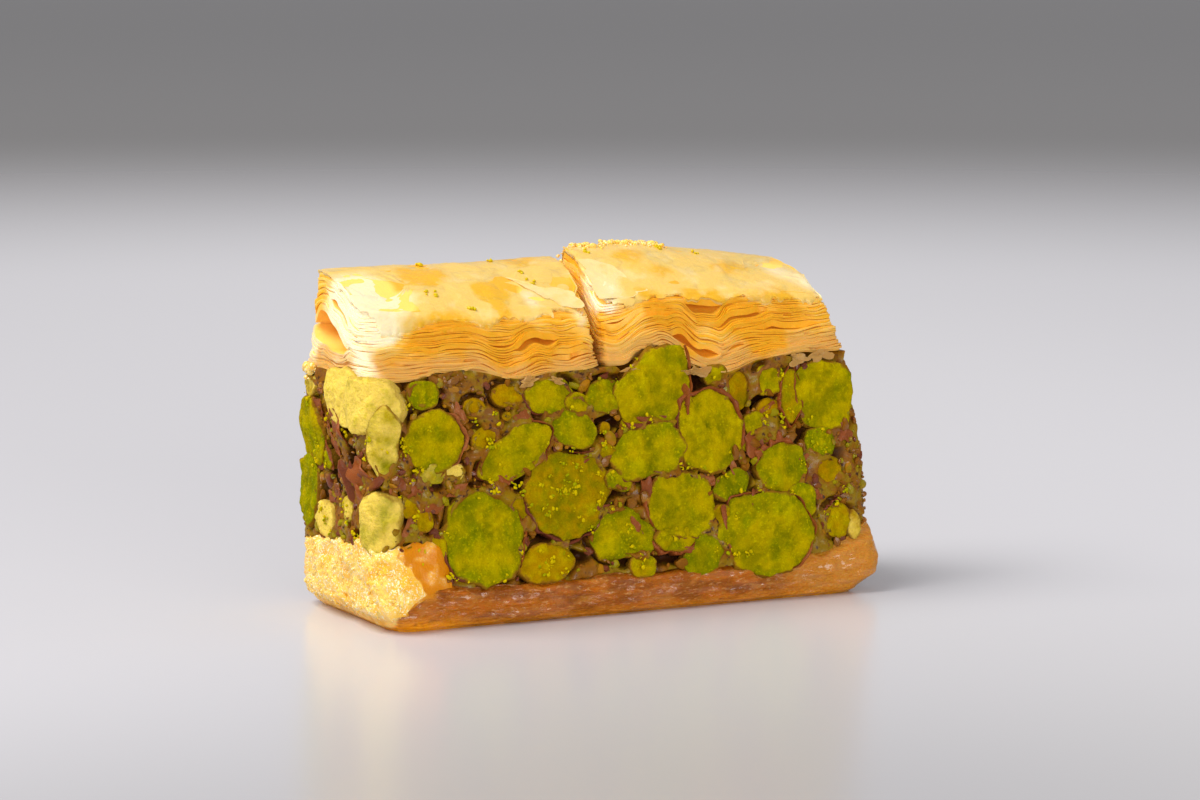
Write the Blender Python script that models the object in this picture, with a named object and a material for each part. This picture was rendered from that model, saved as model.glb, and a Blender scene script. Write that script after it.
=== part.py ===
"""Baklava piece: a soaked bottom crust, a tall pistachio filling, and a flaky top crust that a knife has cut in two.

Each of the four layers is one closed solid. All of them are the same subdivided block, bent between a lower
surface, an upper surface and the outline that the piece has at each height. The piece stands on z = 0, its
length lies along X, and its front face looks towards -Y.
"""

from math import exp, pi, sin, sqrt

import bmesh
import bpy
from mathutils import Vector, noise

MM = 0.001

# The foot that the piece stands on, and how far each face reaches from the middle at the lip of the crust.
REACH_LEFT = 23.1 * MM
REACH_RIGHT = 24.1 * MM
REACH_FRONT = 9.25 * MM
REACH_BACK = 9.4 * MM
LIP_HEIGHT = 2.5 * MM
FOOT_ROUNDING = 0.6 * MM
FOOT_ROUNDING_LEFT = 1.3 * MM
FOOT_ROUNDING_RIGHT = 2.2 * MM
CORNER_RADIUS_FOOT = 1.7 * MM
CORNER_RADIUS_TOP = 0.9 * MM

# How far each face leans inwards for each unit of height: beside the filling, and beside the top crust.
LEAN_LEFT = (-0.01, 0.09)
LEAN_RIGHT = (0.10, 0.20)
LEAN_FRONT = (0.17, 0.42)
LEAN_BACK = (0.13, 0.10)

# Heights of the two surfaces between the layers.
CRUST_HEIGHT = 3.4 * MM
CRUST_CURL = 2.9 * MM
CRUST_CURL_START = 14.0 * MM
FILLING_TOP = 20.3 * MM
LAYER_GAP = 0.3 * MM

# The top crust: its height along the drooping front edge and along the crown, for each half.
CROWN_LINE = 5.0 * MM
BACK_DROOP = 0.5 * MM
LEFT_EDGE_AT_END, LEFT_EDGE_AT_CUT = 26.0 * MM, 24.4 * MM
LEFT_CROWN = 28.85 * MM
RIGHT_EDGE_AT_CUT, RIGHT_EDGE_AT_END = 25.4 * MM, 25.0 * MM
RIGHT_CROWN = 29.85 * MM
RIGHT_CROWN_X = 5.0 * MM
RIGHT_CROWN_DROP = 2.8 * MM

# The knife cut between the two halves of the top crust: a narrow V that runs nearly front to back.
CUT_X = -0.75 * MM
CUT_SLANT = 0.12
CUT_WIDTH_LOW = 0.3 * MM
CUT_WIDTH_HIGH = 0.9 * MM

# Nuts that lift the top crust, and hollows that it sinks into: x, y, height and radius.
SWELLS = [
    (-15.5 * MM, -6.0 * MM, 0.5 * MM, 3.0 * MM),
    (-9.5 * MM, -6.0 * MM, -0.6 * MM, 2.4 * MM),
    (3.2 * MM, -6.0 * MM, 1.8 * MM, 2.2 * MM),
    (10.2 * MM, -6.0 * MM, -1.2 * MM, 2.4 * MM),
    (19.5 * MM, -5.0 * MM, 0.5 * MM, 3.0 * MM),
    (-6.0 * MM, 6.5 * MM, 0.9 * MM, 2.6 * MM),
    (13.0 * MM, 6.5 * MM, 0.8 * MM, 3.0 * MM),
]

NUT_SPACING = 7.0 * MM
NUT_BULGE = 0.7 * MM
LEAF_RIPPLE = 0.14 * MM
LEAF_SPACING = 1.5 * MM


def clear_scene():
    for obj in list(bpy.data.objects):
        bpy.data.objects.remove(obj)


def principled(name, color, roughness):
    material = bpy.data.materials.new(name)
    material.use_nodes = True
    shader = material.node_tree.nodes["Principled BSDF"]
    shader.inputs["Base Color"].default_value = (*color, 1.0)
    shader.inputs["Roughness"].default_value = roughness
    shader.inputs["Metallic"].default_value = 0.0
    return material


def smooth(t):
    """0 below 0, 1 above 1, and an S curve between them."""
    t = min(1.0, max(0.0, t))
    return t * t * (3 - 2 * t)


def blend(start, end, t):
    return start + (end - start) * t


# ---- the outline at a height ----


def foot_inset(z, rounding):
    """How far the edge under the lip is tucked in, on a quarter ellipse."""
    below = max(0.0, 1 - z / LIP_HEIGHT)
    return rounding * (1 - sqrt(1 - below * below))


def face_reach(reach, lean, rounding, z):
    """Distance of one face from the middle plane at height z."""
    beside_filling = max(0.0, min(z, FILLING_TOP) - LIP_HEIGHT) * lean[0]
    beside_crust = max(0.0, z - FILLING_TOP) * lean[1]
    return reach - foot_inset(z, rounding) - beside_filling - beside_crust


def outline(z):
    """The left, right, front and back limits of the piece at height z."""
    left = -face_reach(REACH_LEFT, LEAN_LEFT, FOOT_ROUNDING_LEFT, z)
    right = face_reach(REACH_RIGHT, LEAN_RIGHT, FOOT_ROUNDING_RIGHT, z)
    front = -face_reach(REACH_FRONT, LEAN_FRONT, FOOT_ROUNDING, z)
    back = face_reach(REACH_BACK, LEAN_BACK, FOOT_ROUNDING, z)
    return left, right, front, back


def round_corner(x, y, half_x, half_y, radius):
    """Moves a point of a rectangle to the same rectangle with rounded corners."""
    over_x = (abs(x) - (half_x - radius)) / radius
    over_y = (abs(y) - (half_y - radius)) / radius
    if over_x <= 0 or over_y <= 0:
        return x, y
    bent_x = half_x - radius + radius * over_x * sqrt(1 - over_y * over_y / 2)
    bent_y = half_y - radius + radius * over_y * sqrt(1 - over_x * over_x / 2)
    return (bent_x if x > 0 else -bent_x), (bent_y if y > 0 else -bent_y)


# ---- the surfaces between the layers ----


def flat_base(x, y):
    return 0.0


def crust_top(x, y):
    """The bottom crust is a shallow tray: thin in the middle, with its ends curled up."""
    curl = max(0.0, (abs(x) - CRUST_CURL_START) / (REACH_LEFT - CRUST_CURL_START))
    wave = 0.35 * MM * noise.noise(Vector((x, y, 0)) / (4 * MM))
    return CRUST_HEIGHT + CRUST_CURL * curl * curl + wave


def filling_bottom(x, y):
    return crust_top(x, y) + LAYER_GAP


def filling_top(x, y):
    """The filling's top, as uneven as the nuts under the crust."""
    height = FILLING_TOP + 0.3 * MM * noise.noise(Vector((x, y, 9 * MM)) / (5 * MM))
    for swell_x, swell_y, lift, radius in SWELLS:
        distance = sqrt((x - swell_x) ** 2 + (y - swell_y) ** 2) / radius
        height += lift * exp(-distance * distance)
    return height


def top_crust_bottom(x, y):
    return filling_top(x, y) + LAYER_GAP


def domed(edge, crown, y):
    """Height of a puffed crust at y: it rises from its drooping front edge to the crown and dips at the back."""
    front = outline(edge)[2]
    rise = min(1.0, max(0.0, (y - front) / (CROWN_LINE - front)))
    past = max(0.0, (y - CROWN_LINE) / (REACH_BACK - CROWN_LINE))
    return edge + (crown - edge) * (1 - (1 - rise) ** 1.6) - BACK_DROOP * past * 4 * past


def left_crust_top(x, y):
    along = (x + REACH_LEFT) / REACH_LEFT
    edge = blend(LEFT_EDGE_AT_END, LEFT_EDGE_AT_CUT, along)
    wave = 0.18 * MM * noise.noise(Vector((x, y, 5 * MM)) / (6 * MM))
    return domed(edge, LEFT_CROWN, y) + wave


def right_crust_top(x, y):
    along = x / REACH_RIGHT
    edge = blend(RIGHT_EDGE_AT_CUT, RIGHT_EDGE_AT_END, along)
    edge += 0.6 * MM * sin(pi * min(1.0, max(0.0, along)))
    from_crown = (x - RIGHT_CROWN_X) / (REACH_RIGHT - RIGHT_CROWN_X)
    crown = RIGHT_CROWN - RIGHT_CROWN_DROP * max(0.0, from_crown) ** 1.5
    wave = 0.25 * MM * noise.noise(Vector((x, y, 7 * MM)) / (6 * MM))
    return domed(edge, crown, y) + wave


# ---- the unevenness of the side walls ----


def soaked_wall(point):
    """The cut side of the soaked crust: slightly lumpy."""
    return 0.18 * MM * noise.noise(point / (3.5 * MM))


def nutty_wall(point):
    """The cut side of the filling: each nut stands out as a low bump."""
    nearest = noise.voronoi(point / NUT_SPACING)[0][0]
    return NUT_BULGE * (0.5 - nearest)


def leafy_wall(point):
    """The cut side of the top crust: ledges of bunched pastry leaves that wander up and down."""
    height = point.z + 0.8 * MM * noise.noise(Vector((point.x, point.y, 0)) / (4 * MM))
    return LEAF_RIPPLE * sin(2 * pi * height / LEAF_SPACING)


# ---- the layers ----


def subdivided_block(cells):
    """A closed 2 x 2 x 2 cube whose faces are cut into that many cells along X, Y and Z."""
    bm = bmesh.new()
    bmesh.ops.create_cube(bm, size=2.0)
    for axis, count in enumerate(cells):
        along = [e for e in bm.edges if abs(e.verts[0].co[axis] - e.verts[1].co[axis]) > 0.1]
        bmesh.ops.subdivide_edges(bm, edges=along, cuts=count - 1, use_grid_fill=True)
    return bm


def place(u, v, w, lower, upper, wall, limits):
    """The point of a layer for u, v and w from -1 to 1 along its length, depth and height."""
    x = y = 0.0
    z = FILLING_TOP
    for _ in range(6):
        left, right, front, back = limits(y, z, (w + 1) / 2)
        radius = blend(CORNER_RADIUS_FOOT, CORNER_RADIUS_TOP, smooth(z / FILLING_TOP))
        half_x, half_y = (right - left) / 2, (back - front) / 2
        x, y = round_corner(u * half_x, v * half_y, half_x, half_y, radius)
        x, y = x + (left + right) / 2, y + (front + back) / 2
        z = blend(lower(x, y), upper(x, y), (w + 1) / 2)
    point = Vector((x, y, z))
    outward = Vector((u if abs(u) > 0.999 else 0.0, v if abs(v) > 0.999 else 0.0, 0.0))
    if outward.length > 0 and abs(w) < 0.999:
        point += outward.normalized() * wall(point)
    return point


def layer(name, cells, lower, upper, wall, limits, material):
    bm = subdivided_block(cells)
    for vert in bm.verts:
        vert.co = place(*vert.co, lower, upper, wall, limits)
    bmesh.ops.recalc_face_normals(bm, faces=bm.faces)
    mesh = bpy.data.meshes.new(name)
    bm.to_mesh(mesh)
    bm.free()
    mesh.shade_smooth()
    mesh.set_sharp_from_angle(angle=0.7)
    mesh.materials.append(material)
    obj = bpy.data.objects.new(name, mesh)
    bpy.context.scene.collection.objects.link(obj)
    return obj


def whole_outline(y, z, w):
    return outline(z)


def cut_face(y, w, side):
    """X of one face of the knife cut, at share w of the crust's height."""
    width = blend(CUT_WIDTH_LOW, CUT_WIDTH_HIGH, w)
    return CUT_X + CUT_SLANT * y + side * width / 2


def left_of_cut(y, z, w):
    left, _, front, back = outline(z)
    return left, cut_face(y, w, -1), front, back


def right_of_cut(y, z, w):
    _, right, front, back = outline(z)
    return cut_face(y, w, 1), right, front, back


def centre_over_origin(objects):
    """Moves the whole piece so that the middle of its box is over the origin."""
    points = [vert.co for obj in objects for vert in obj.data.vertices]
    middle_x = (min(p.x for p in points) + max(p.x for p in points)) / 2
    middle_y = (min(p.y for p in points) + max(p.y for p in points)) / 2
    for obj in objects:
        for vert in obj.data.vertices:
            vert.co -= Vector((middle_x, middle_y, 0.0))


def main():
    clear_scene()
    soaked = principled("soaked_crust", (0.56, 0.26, 0.07), 0.3)
    nuts = principled("pistachio_filling", (0.32, 0.36, 0.03), 0.5)
    flaky = principled("flaky_crust", (0.85, 0.52, 0.16), 0.3)
    bottom = layer(
        "bottom_crust", (26, 10, 4), flat_base, crust_top, soaked_wall, whole_outline, soaked
    )
    filling = layer(
        "pistachio_filling", (30, 12, 11), filling_bottom, filling_top, nutty_wall, whole_outline, nuts
    )
    left = layer(
        "top_crust_left", (15, 11, 9), top_crust_bottom, left_crust_top, leafy_wall, left_of_cut, flaky
    )
    right = layer(
        "top_crust_right", (15, 11, 9), top_crust_bottom, right_crust_top, leafy_wall, right_of_cut, flaky
    )
    centre_over_origin([bottom, filling, left, right])


main()
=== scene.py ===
import math

import bpy
import numpy as np
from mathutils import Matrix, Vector
from mathutils.bvhtree import BVHTree


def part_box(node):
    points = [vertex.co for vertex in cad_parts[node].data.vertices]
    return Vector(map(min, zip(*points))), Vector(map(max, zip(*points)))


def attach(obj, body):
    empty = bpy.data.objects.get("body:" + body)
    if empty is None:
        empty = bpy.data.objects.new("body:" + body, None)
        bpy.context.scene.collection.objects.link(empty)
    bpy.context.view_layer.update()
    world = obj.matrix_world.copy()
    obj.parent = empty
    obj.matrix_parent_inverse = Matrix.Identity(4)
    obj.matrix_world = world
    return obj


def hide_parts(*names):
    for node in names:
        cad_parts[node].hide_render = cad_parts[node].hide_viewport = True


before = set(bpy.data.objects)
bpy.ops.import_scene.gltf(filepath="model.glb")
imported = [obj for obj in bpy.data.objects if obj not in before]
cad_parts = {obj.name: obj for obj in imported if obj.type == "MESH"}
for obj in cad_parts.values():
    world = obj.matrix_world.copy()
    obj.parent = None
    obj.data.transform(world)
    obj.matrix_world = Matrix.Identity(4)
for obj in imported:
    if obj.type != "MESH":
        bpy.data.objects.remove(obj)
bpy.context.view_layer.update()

MM = 0.001

# ---- Bottom crust ----
# Some thirty sheets of buttered pastry, pressed into one dense slab by the filling and soaked with syrup. The
# knife leaves the pressed sheets showing as fine lines on its sides. The corner at the left front has torn: there
# it is pale and grainy, and stands up against the filling.

SYRUP_AMBER = (0.29, 0.075, 0.001, 1)
SYRUP_ORANGE = (0.46, 0.125, 0.001, 1)
SOAKED_PINK = (0.48, 0.18, 0.02, 1)
PAINTED_GLINT_PINK = (0.66, 0.34, 0.12, 1)
SOAKED_GOLD = (0.62, 0.25, 0.02, 1)
# Orange that stands for light shining through the syrup, painted as colour and as emission.
PAINTED_SYRUP_GLOW = (0.72, 0.25, 0.002, 1)
# The torn patch on the front, as the height (mm) and how far it reaches across at that height.
TORN_HEIGHTS, TORN_REACH = [0, 1.2, 2.5, 3.2, 4.3, 5.5, 6.5], [-22.2, -22.0, -21.2, -20.2, -21.0, -22.2, -23.2]
TORN_CREAM = (0.95, 0.60, 0.18, 1)
TORN_GOLD = (0.85, 0.42, 0.05, 1)


def pick(obj):
    """Makes obj the only selected object."""
    bpy.ops.object.select_all(action="DESELECT")
    obj.select_set(True)
    bpy.context.view_layer.objects.active = obj


def lumps(points, size, seed=0):
    """Smooth random values from -1 to 1 at points, with lumps about that size across."""
    cell = np.asarray(points, float) / np.asarray(size, float) + 31.7 * seed + 5000.0
    corner = np.floor(cell).astype(np.int64)
    share = cell - corner
    share = share * share * (3 - 2 * share)
    total = np.zeros(len(cell))
    for step in np.ndindex(2, 2, 2):
        at = corner + step
        mixed = (at[:, 0] * 73856093) ^ (at[:, 1] * 19349663) ^ (at[:, 2] * 83492791)
        mixed = (mixed ^ (mixed >> 13)) * 1274126177 & 0x7FFFFFFF
        value = ((mixed ^ (mixed >> 16)) & 0xFFFF) / 32767.5 - 1
        total += value * np.prod(np.where(step, share, 1 - share), axis=1)
    return total


def smooth(t):
    """0 below 0, 1 above 1, and an S curve between them."""
    t = np.clip(t, 0, 1)
    return t * t * (3 - 2 * t)


def even_out(table, passes):
    """Takes small steps out of numbers that run round a ring."""
    for _ in range(passes):
        table = (np.roll(table, 1, axis=-1) + 2 * table + np.roll(table, -1, axis=-1)) / 4
    return table


def ring_around(low, high, count, corner):
    """Points round a rounded rectangle, the same on its front and back, and the nearest points of its middle line."""
    half_x, half_y = (high.x - low.x) / 2 - corner, (high.y - low.y) / 2 - corner
    middle = Vector(((low.x + high.x) / 2, (low.y + high.y) / 2))
    bend = math.pi / 2 * corner
    stops = np.cumsum([0, half_y, bend, 2 * half_x, bend, half_y])
    front = []
    for place in np.linspace(0, stops[-1], count // 2 + 1):
        part = min(int(np.searchsorted(stops, place, side="right")) - 1, 4)
        along = place - stops[part]
        angle = along / corner
        front.append([
            (-half_x - corner, -along),
            (-half_x - corner * math.cos(angle), -half_y - corner * math.sin(angle)),
            (-half_x + along, -half_y - corner),
            (half_x + corner * math.sin(angle), -half_y - corner * math.cos(angle)),
            (half_x + corner, -half_y + along),
        ][part])
    front = np.array(front)
    points = np.concatenate([front, front[-2:0:-1] * (1, -1)]) + middle
    spine = points.copy()
    reach = half_x - half_y
    spine[:, 0] = np.clip(points[:, 0], middle.x - reach, middle.x + reach)
    spine[:, 1] = middle.y
    return points, spine


class Wall:
    """The sides of a CAD node as a ring of columns, each with a foot, a top and a reach from the middle line."""

    LEVELS = 24

    def __init__(self, node, count, corner=1.5 * MM, evening=6, flat_foot=False):
        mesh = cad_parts[node].data
        self.count = count
        self.tree = BVHTree.FromPolygons([v.co for v in mesh.vertices], [p.vertices for p in mesh.polygons])
        self.low, self.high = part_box(node)
        self.ring, self.spine = ring_around(self.low, self.high, count, corner)
        self.away = self.ring - self.spine
        self.away /= np.linalg.norm(self.away, axis=1)[:, None]
        middle = self.reach_at(np.full(count, (self.low.z + self.high.z) / 2))
        self.foot = even_out(self.height(self.spine + self.away * (middle - 0.4 * MM)[:, None], up=True), evening)
        if flat_foot:
            self.foot = np.full(count, 0.02 * MM)
        self.top = even_out(self.height(self.spine + self.away * (middle - 1.4 * MM)[:, None]), evening)
        shares = np.linspace(0.03, 0.97, self.LEVELS)
        self.table = np.array([self.reach_at(self.foot * (1 - s) + self.top * s) for s in shares])
        self.table = even_out(self.table, evening)

    def cast(self, start, way):
        return self.tree.ray_cast(Vector(start), Vector(way))[0]

    def reach_at(self, heights):
        """How far from the middle line the wall is at that height, for each column."""
        found = []
        for (x, y), (out_x, out_y), z in zip(self.spine, self.away, heights):
            far = 40 * MM
            hit = self.cast((x + out_x * far, y + out_y * far, z), (-out_x, -out_y, 0))
            found.append(math.hypot(hit.x - x, hit.y - y) if hit else found[-1])
        return np.array(found)

    def height(self, spots, up=False):
        """The height of the node's underside (up) or top over points of the table."""
        found = []
        for x, y in spots:
            hit = self.cast((x, y, -1 if up else 1), (0, 0, 1 if up else -1))
            found.append(hit.z if hit else (found[-1] if found else self.high.z))
        return np.array(found)

    def loops(self, shares):
        """Points of the wall (level x column x 3), and how far they are from the middle line."""
        places = np.linspace(0.03, 0.97, self.LEVELS)
        rows, reaches = [], []
        for share in shares:
            spot = np.interp(share, places, np.arange(self.LEVELS))
            base = min(int(spot), self.LEVELS - 2)
            reach = self.table[base] * (base + 1 - spot) + self.table[base + 1] * (spot - base)
            xy = self.spine + self.away * reach[:, None]
            rows.append(np.column_stack([xy, self.foot * (1 - share) + self.top * share]))
            reaches.append(reach)
        return np.array(rows), np.array(reaches)


class Parts:
    """Collects the points, faces and painted numbers of a piece that is made of many small bodies."""

    def __init__(self):
        self.points, self.faces, self.paints, self.total = [], [], {}, 0

    def add(self, points, faces, **paints):
        self.points.append(points)
        self.faces.extend(tuple(i + self.total for i in face) for face in faces)
        for name, value in paints.items():
            self.paints.setdefault(name, []).append(np.broadcast_to(value, len(points)))
        self.total += len(points)

    def build(self, name, merge=True, crease=55):
        """Makes the piece's object, with its repeated points merged and its sharp edges marked."""
        mesh = bpy.data.meshes.new(name)
        mesh.from_pydata([tuple(p) for p in np.concatenate(self.points)], [], self.faces)
        obj = bpy.data.objects.new(name, mesh)
        bpy.context.scene.collection.objects.link(obj)
        for paint, values in self.paints.items():
            attribute = mesh.attributes.new(paint, "FLOAT", "POINT")
            attribute.data.foreach_set("value", np.concatenate(values).astype(np.float32))
        pick(obj)
        bpy.ops.object.mode_set(mode="EDIT")
        bpy.ops.mesh.select_all(action="SELECT")
        if merge:
            bpy.ops.mesh.remove_doubles(threshold=1e-7)
        bpy.ops.mesh.normals_make_consistent(inside=False)
        bpy.ops.object.mode_set(mode="OBJECT")
        bpy.ops.object.shade_smooth_by_angle(angle=math.radians(crease))
        return obj


def tube_faces(levels, count):
    """Faces between rings of points that lie one after another."""
    faces = []
    for level in range(levels - 1):
        for i in range(count):
            j = (i + 1) % count
            low, high = level * count, (level + 1) * count
            faces.append((low + i, low + j, high + j, high + i))
    return faces


class Wire:
    """A socket in a material. Arithmetic on it adds Math nodes."""

    def __init__(self, finish, socket):
        self.finish, self.socket = finish, socket

    def math(self, operation, *values):
        return self.finish.node("ShaderNodeMath", {"operation": operation}, dict(enumerate(values)))

    def __add__(self, other):
        return self.math("ADD", self, other)

    def __radd__(self, other):
        return self.math("ADD", other, self)

    def __sub__(self, other):
        return self.math("SUBTRACT", self, other)

    def __rsub__(self, other):
        return self.math("SUBTRACT", other, self)

    def __mul__(self, other):
        return self.math("MULTIPLY", self, other)

    def __rmul__(self, other):
        return self.math("MULTIPLY", other, self)


class Finish:
    """A material with a Principled shader, whose constant sockets are given by name."""

    def __init__(self, name, **constants):
        self.material = bpy.data.materials.new(name)
        self.material.use_nodes = True
        self.tree = self.material.node_tree
        self.shader = self.tree.nodes["Principled BSDF"]
        for socket, value in constants.items():
            self.shader.inputs[socket.replace("_", " ")].default_value = value
        self.place = self.node("ShaderNodeTexCoord", output="Object")

    def node(self, kind, settings=None, inputs=None, output=0):
        """Adds a node: its settings first, then the values or links of its sockets."""
        node = self.tree.nodes.new(kind)
        for setting, value in (settings or {}).items():
            setattr(node, setting, value)
        for socket, value in (inputs or {}).items():
            if isinstance(value, Wire):
                self.tree.links.new(value.socket, node.inputs[socket])
            else:
                node.inputs[socket].default_value = value
        return Wire(self, node.outputs[output])

    def noise(self, size, detail=2, stretch=(1, 1, 1), rough=0.5):
        """Noise from 0 to 1 with patches about that size, in metres, stretched along the axes."""
        scale = {"Scale": tuple(1 / (size * s) for s in stretch)}
        spot = self.node("ShaderNodeMapping", None, {"Vector": self.place, **scale})
        inputs = {"Vector": spot, "Scale": 1.0, "Detail": detail, "Roughness": rough}
        return self.node("ShaderNodeTexNoise", None, inputs)

    def stored(self, name):
        """A number painted on the mesh."""
        return self.node("ShaderNodeAttribute", {"attribute_name": name}, None, "Fac")

    def step(self, value, start, end):
        """0 where value is below start, 1 where it is above end, smooth between."""
        inputs = {"Value": value, "From Min": start, "From Max": end}
        return self.node("ShaderNodeMapRange", {"interpolation_type": "SMOOTHSTEP"}, inputs)

    def mix(self, share, first, second, blend="MIX"):
        """A blend of two colours."""
        settings = {"data_type": "RGBA", "blend_type": blend}
        return self.node("ShaderNodeMix", settings, {0: share, 6: first, 7: second}, 2)

    def bump(self, height, distance, strength=1.0):
        """A normal tilted by a height, whose full range is that distance in metres."""
        return self.node("ShaderNodeBump", None, {"Height": height, "Distance": distance, "Strength": strength})

    def feed(self, **wires):
        for socket, wire in wires.items():
            self.tree.links.new(wire.socket, self.shader.inputs[socket.replace("_", " ")])

    def on(self, obj, slot, *nodes):
        """Puts the material on a piece, hangs it under the root body and hides the CAD nodes that it replaces."""
        obj.data.materials.clear()
        obj.data.materials.append(self.material)
        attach(obj, "root")
        for node in nodes:
            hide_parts(node)


wall = Wall("bottom_crust", 700, 2.2 * MM, 12, flat_foot=True)
shares = np.linspace(0, 1, 50)
loops, reaches = wall.loops(shares)
loops[0, :, 2] = 0
column = np.tile(wall.away, (len(shares), 1))
flat = loops.reshape(-1, 3)
depth = (shares.repeat(wall.count) * 4 * MM)
pressed = np.column_stack([flat[:, :2], depth])
edge_of_tear = np.interp(flat[:, 2] / MM, TORN_HEIGHTS, TORN_REACH)
near_left = (edge_of_tear - flat[:, 0] / MM) / 0.5
torn = smooth(0.5 + near_left + 0.6 * lumps(flat, 1.3 * MM, 3) + 0.5 * lumps(flat, 0.5 * MM, 8))
# Painted glow: a patch right of the tear and a band low on the left front are painted orange, as if lit through.
amber = smooth((-18.3 - flat[:, 0] / MM) / 1.2) * smooth((flat[:, 2] / MM - 2.4) / 0.8)
amber = np.maximum(amber, smooth((-14 - flat[:, 0] / MM) / 6) * smooth((1.6 - flat[:, 2] / MM) / 1.2))
sheets = 0.09 * lumps(pressed, (3 * MM, 3 * MM, 0.5 * MM), 1) + 0.09 * lumps(flat, (0.9 * MM, 0.9 * MM, 0.4 * MM), 9)
sheets += 0.05 * lumps(pressed, (1.6 * MM, 1.6 * MM, 0.24 * MM), 2) + 0.05 * lumps(flat, 0.42 * MM, 7)
grain = 0.17 * lumps(flat, 0.42 * MM, 4) + 0.20 * lumps(flat, 1.0 * MM, 5)
relief = sheets * (1 - torn) + grain * torn + 0.16 * lumps(flat, 2.6 * MM, 6)
relief *= 0.2 + 0.8 * smooth(flat[:, 2] / (0.5 * MM))
rims = shares.repeat(wall.count)
rounding = (0.35 + 0.35 * lumps(flat, 1.4 * MM, 10)) * smooth((rims - 0.84) / 0.16) + 0.35 * smooth((0.35 - flat[:, 2] / MM) / 0.35)
bulge = 0.35 * smooth((column[:, 0] - 0.1) / 0.6) * np.exp(-(((flat[:, 2] / MM - 2.8) / 2.2) ** 2))
flat[:, :2] += column * ((relief + bulge - rounding) * MM)[:, None]
loops = flat.reshape(loops.shape)
below = np.column_stack([wall.spine, np.zeros(wall.count)])
above = np.column_stack([wall.spine, wall.height(wall.spine) + 0.25 * MM])
rings = [loops[0] * (1 - s) + below * s for s in (1, 0.5, 0.03)] + list(loops)
rings += [loops[-1] * (1 - s) + above * s for s in (0.04, 0.12, 0.5, 1)]
bottom = Parts()
bottom.add(np.concatenate(rings), tube_faces(len(rings), wall.count),
           torn=np.concatenate([np.zeros(3 * wall.count), torn, np.tile(torn[-wall.count:], 4)]),
           amber=np.concatenate([np.zeros(3 * wall.count), amber, np.tile(amber[-wall.count:], 4)]))
bottom = bottom.build("soaked_crust")

# Its emission is painted glow in that patch, not a lamp.
finish = Finish("soaked_pastry", Roughness=0.42, Subsurface_Weight=0.5, Subsurface_Scale=0.0012,
                Subsurface_Radius=(1.0, 0.40, 0.10), Coat_Roughness=0.12, Specular_IOR_Level=0.15, Emission_Strength=0.18)
torn_share = finish.stored("torn")
across = finish.node("ShaderNodeSeparateXYZ", None, {0: finish.place}, 0)
up = finish.node("ShaderNodeSeparateXYZ", None, {0: finish.place}, 2)
soaked = finish.mix(finish.step(finish.noise(1.8 * MM, 4, (1.8, 1.8, 0.6)), 0.40, 0.60), SYRUP_AMBER, SYRUP_ORANGE)
soaked = finish.mix(finish.step(finish.noise(0.9 * MM, 4, (1.8, 1.8, 0.7)), 0.5, 0.72) * 0.8, soaked, SOAKED_PINK)
# Painted highlights: thin pale pink glints in short stretched streaks over the crust.
painted_glint_streaks = finish.step(finish.noise(0.42 * MM, 3, (1.7, 1.7, 0.5)), 0.57, 0.66)
soaked = finish.mix(painted_glint_streaks * 0.45, soaked, PAINTED_GLINT_PINK)
right_end = finish.step(across + 3 * MM * finish.noise(3 * MM, 2), 12 * MM, 21 * MM)
soaked = finish.mix(right_end * 0.8, soaked, SOAKED_GOLD)
# Painted glow: the crust's bottom edge, below about 1.5 mm, turns orange as if lit through the syrup.
glow = finish.step(up + 0.8 * MM * finish.noise(2 * MM, 2), 1.5 * MM, 0.5 * MM)
soaked = finish.mix(glow * 0.55, soaked, PAINTED_SYRUP_GLOW)
# The patch gets the glowing orange both as its colour and as emission.
orange = finish.stored("amber") * finish.step(finish.noise(1.2 * MM, 3), 0.25, 0.45)
soaked = finish.mix(orange, soaked, PAINTED_SYRUP_GLOW)
torn_colour = finish.mix(finish.step(finish.noise(1.6 * MM, 3), 0.42, 0.66), TORN_CREAM, TORN_GOLD)
finish.feed(
    Base_Color=finish.mix(torn_share, soaked, torn_colour),
    Emission_Color=finish.mix(orange, (0, 0, 0, 1), PAINTED_SYRUP_GLOW),
    Coat_Weight=0.15 + 0.75 * finish.step(finish.noise(1.2 * MM, 2, (2.5, 2.5, 0.5)), 0.48, 0.6),
    Normal=finish.bump(finish.noise(0.36 * MM, 4, (1.4, 1.4, 0.7)), 0.30 * MM, 1.0),
)
finish.on(bottom, "soaked_crust", "bottom_crust")

# ---- Cut pistachios ----
# Shelled kernels, most of them halved or chopped, cut flush with the sides by the knife. A cut face is matt,
# bright green to olive, slightly swollen and rounded at its edge, and yellow streaks run through it. Those round
# the front and at the left end stand where they do in the piece; the others are strewn over the two sides behind.

DEEP_GREEN = (0.10, 0.12, 0.0, 1)
LEAF_GREEN = (0.21, 0.215, 0.0, 1)
YELLOW_GREEN = (0.43, 0.31, 0.0, 1)
OLIVE = (0.38, 0.20, 0.0, 1)
PALE_YELLOW = (0.84, 0.60, 0.10, 1)
BRIGHT_GREEN = (0.48, 0.39, 0.0, 1)
RIM_BROWN = (0.22, 0.09, 0.008, 1)
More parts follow.
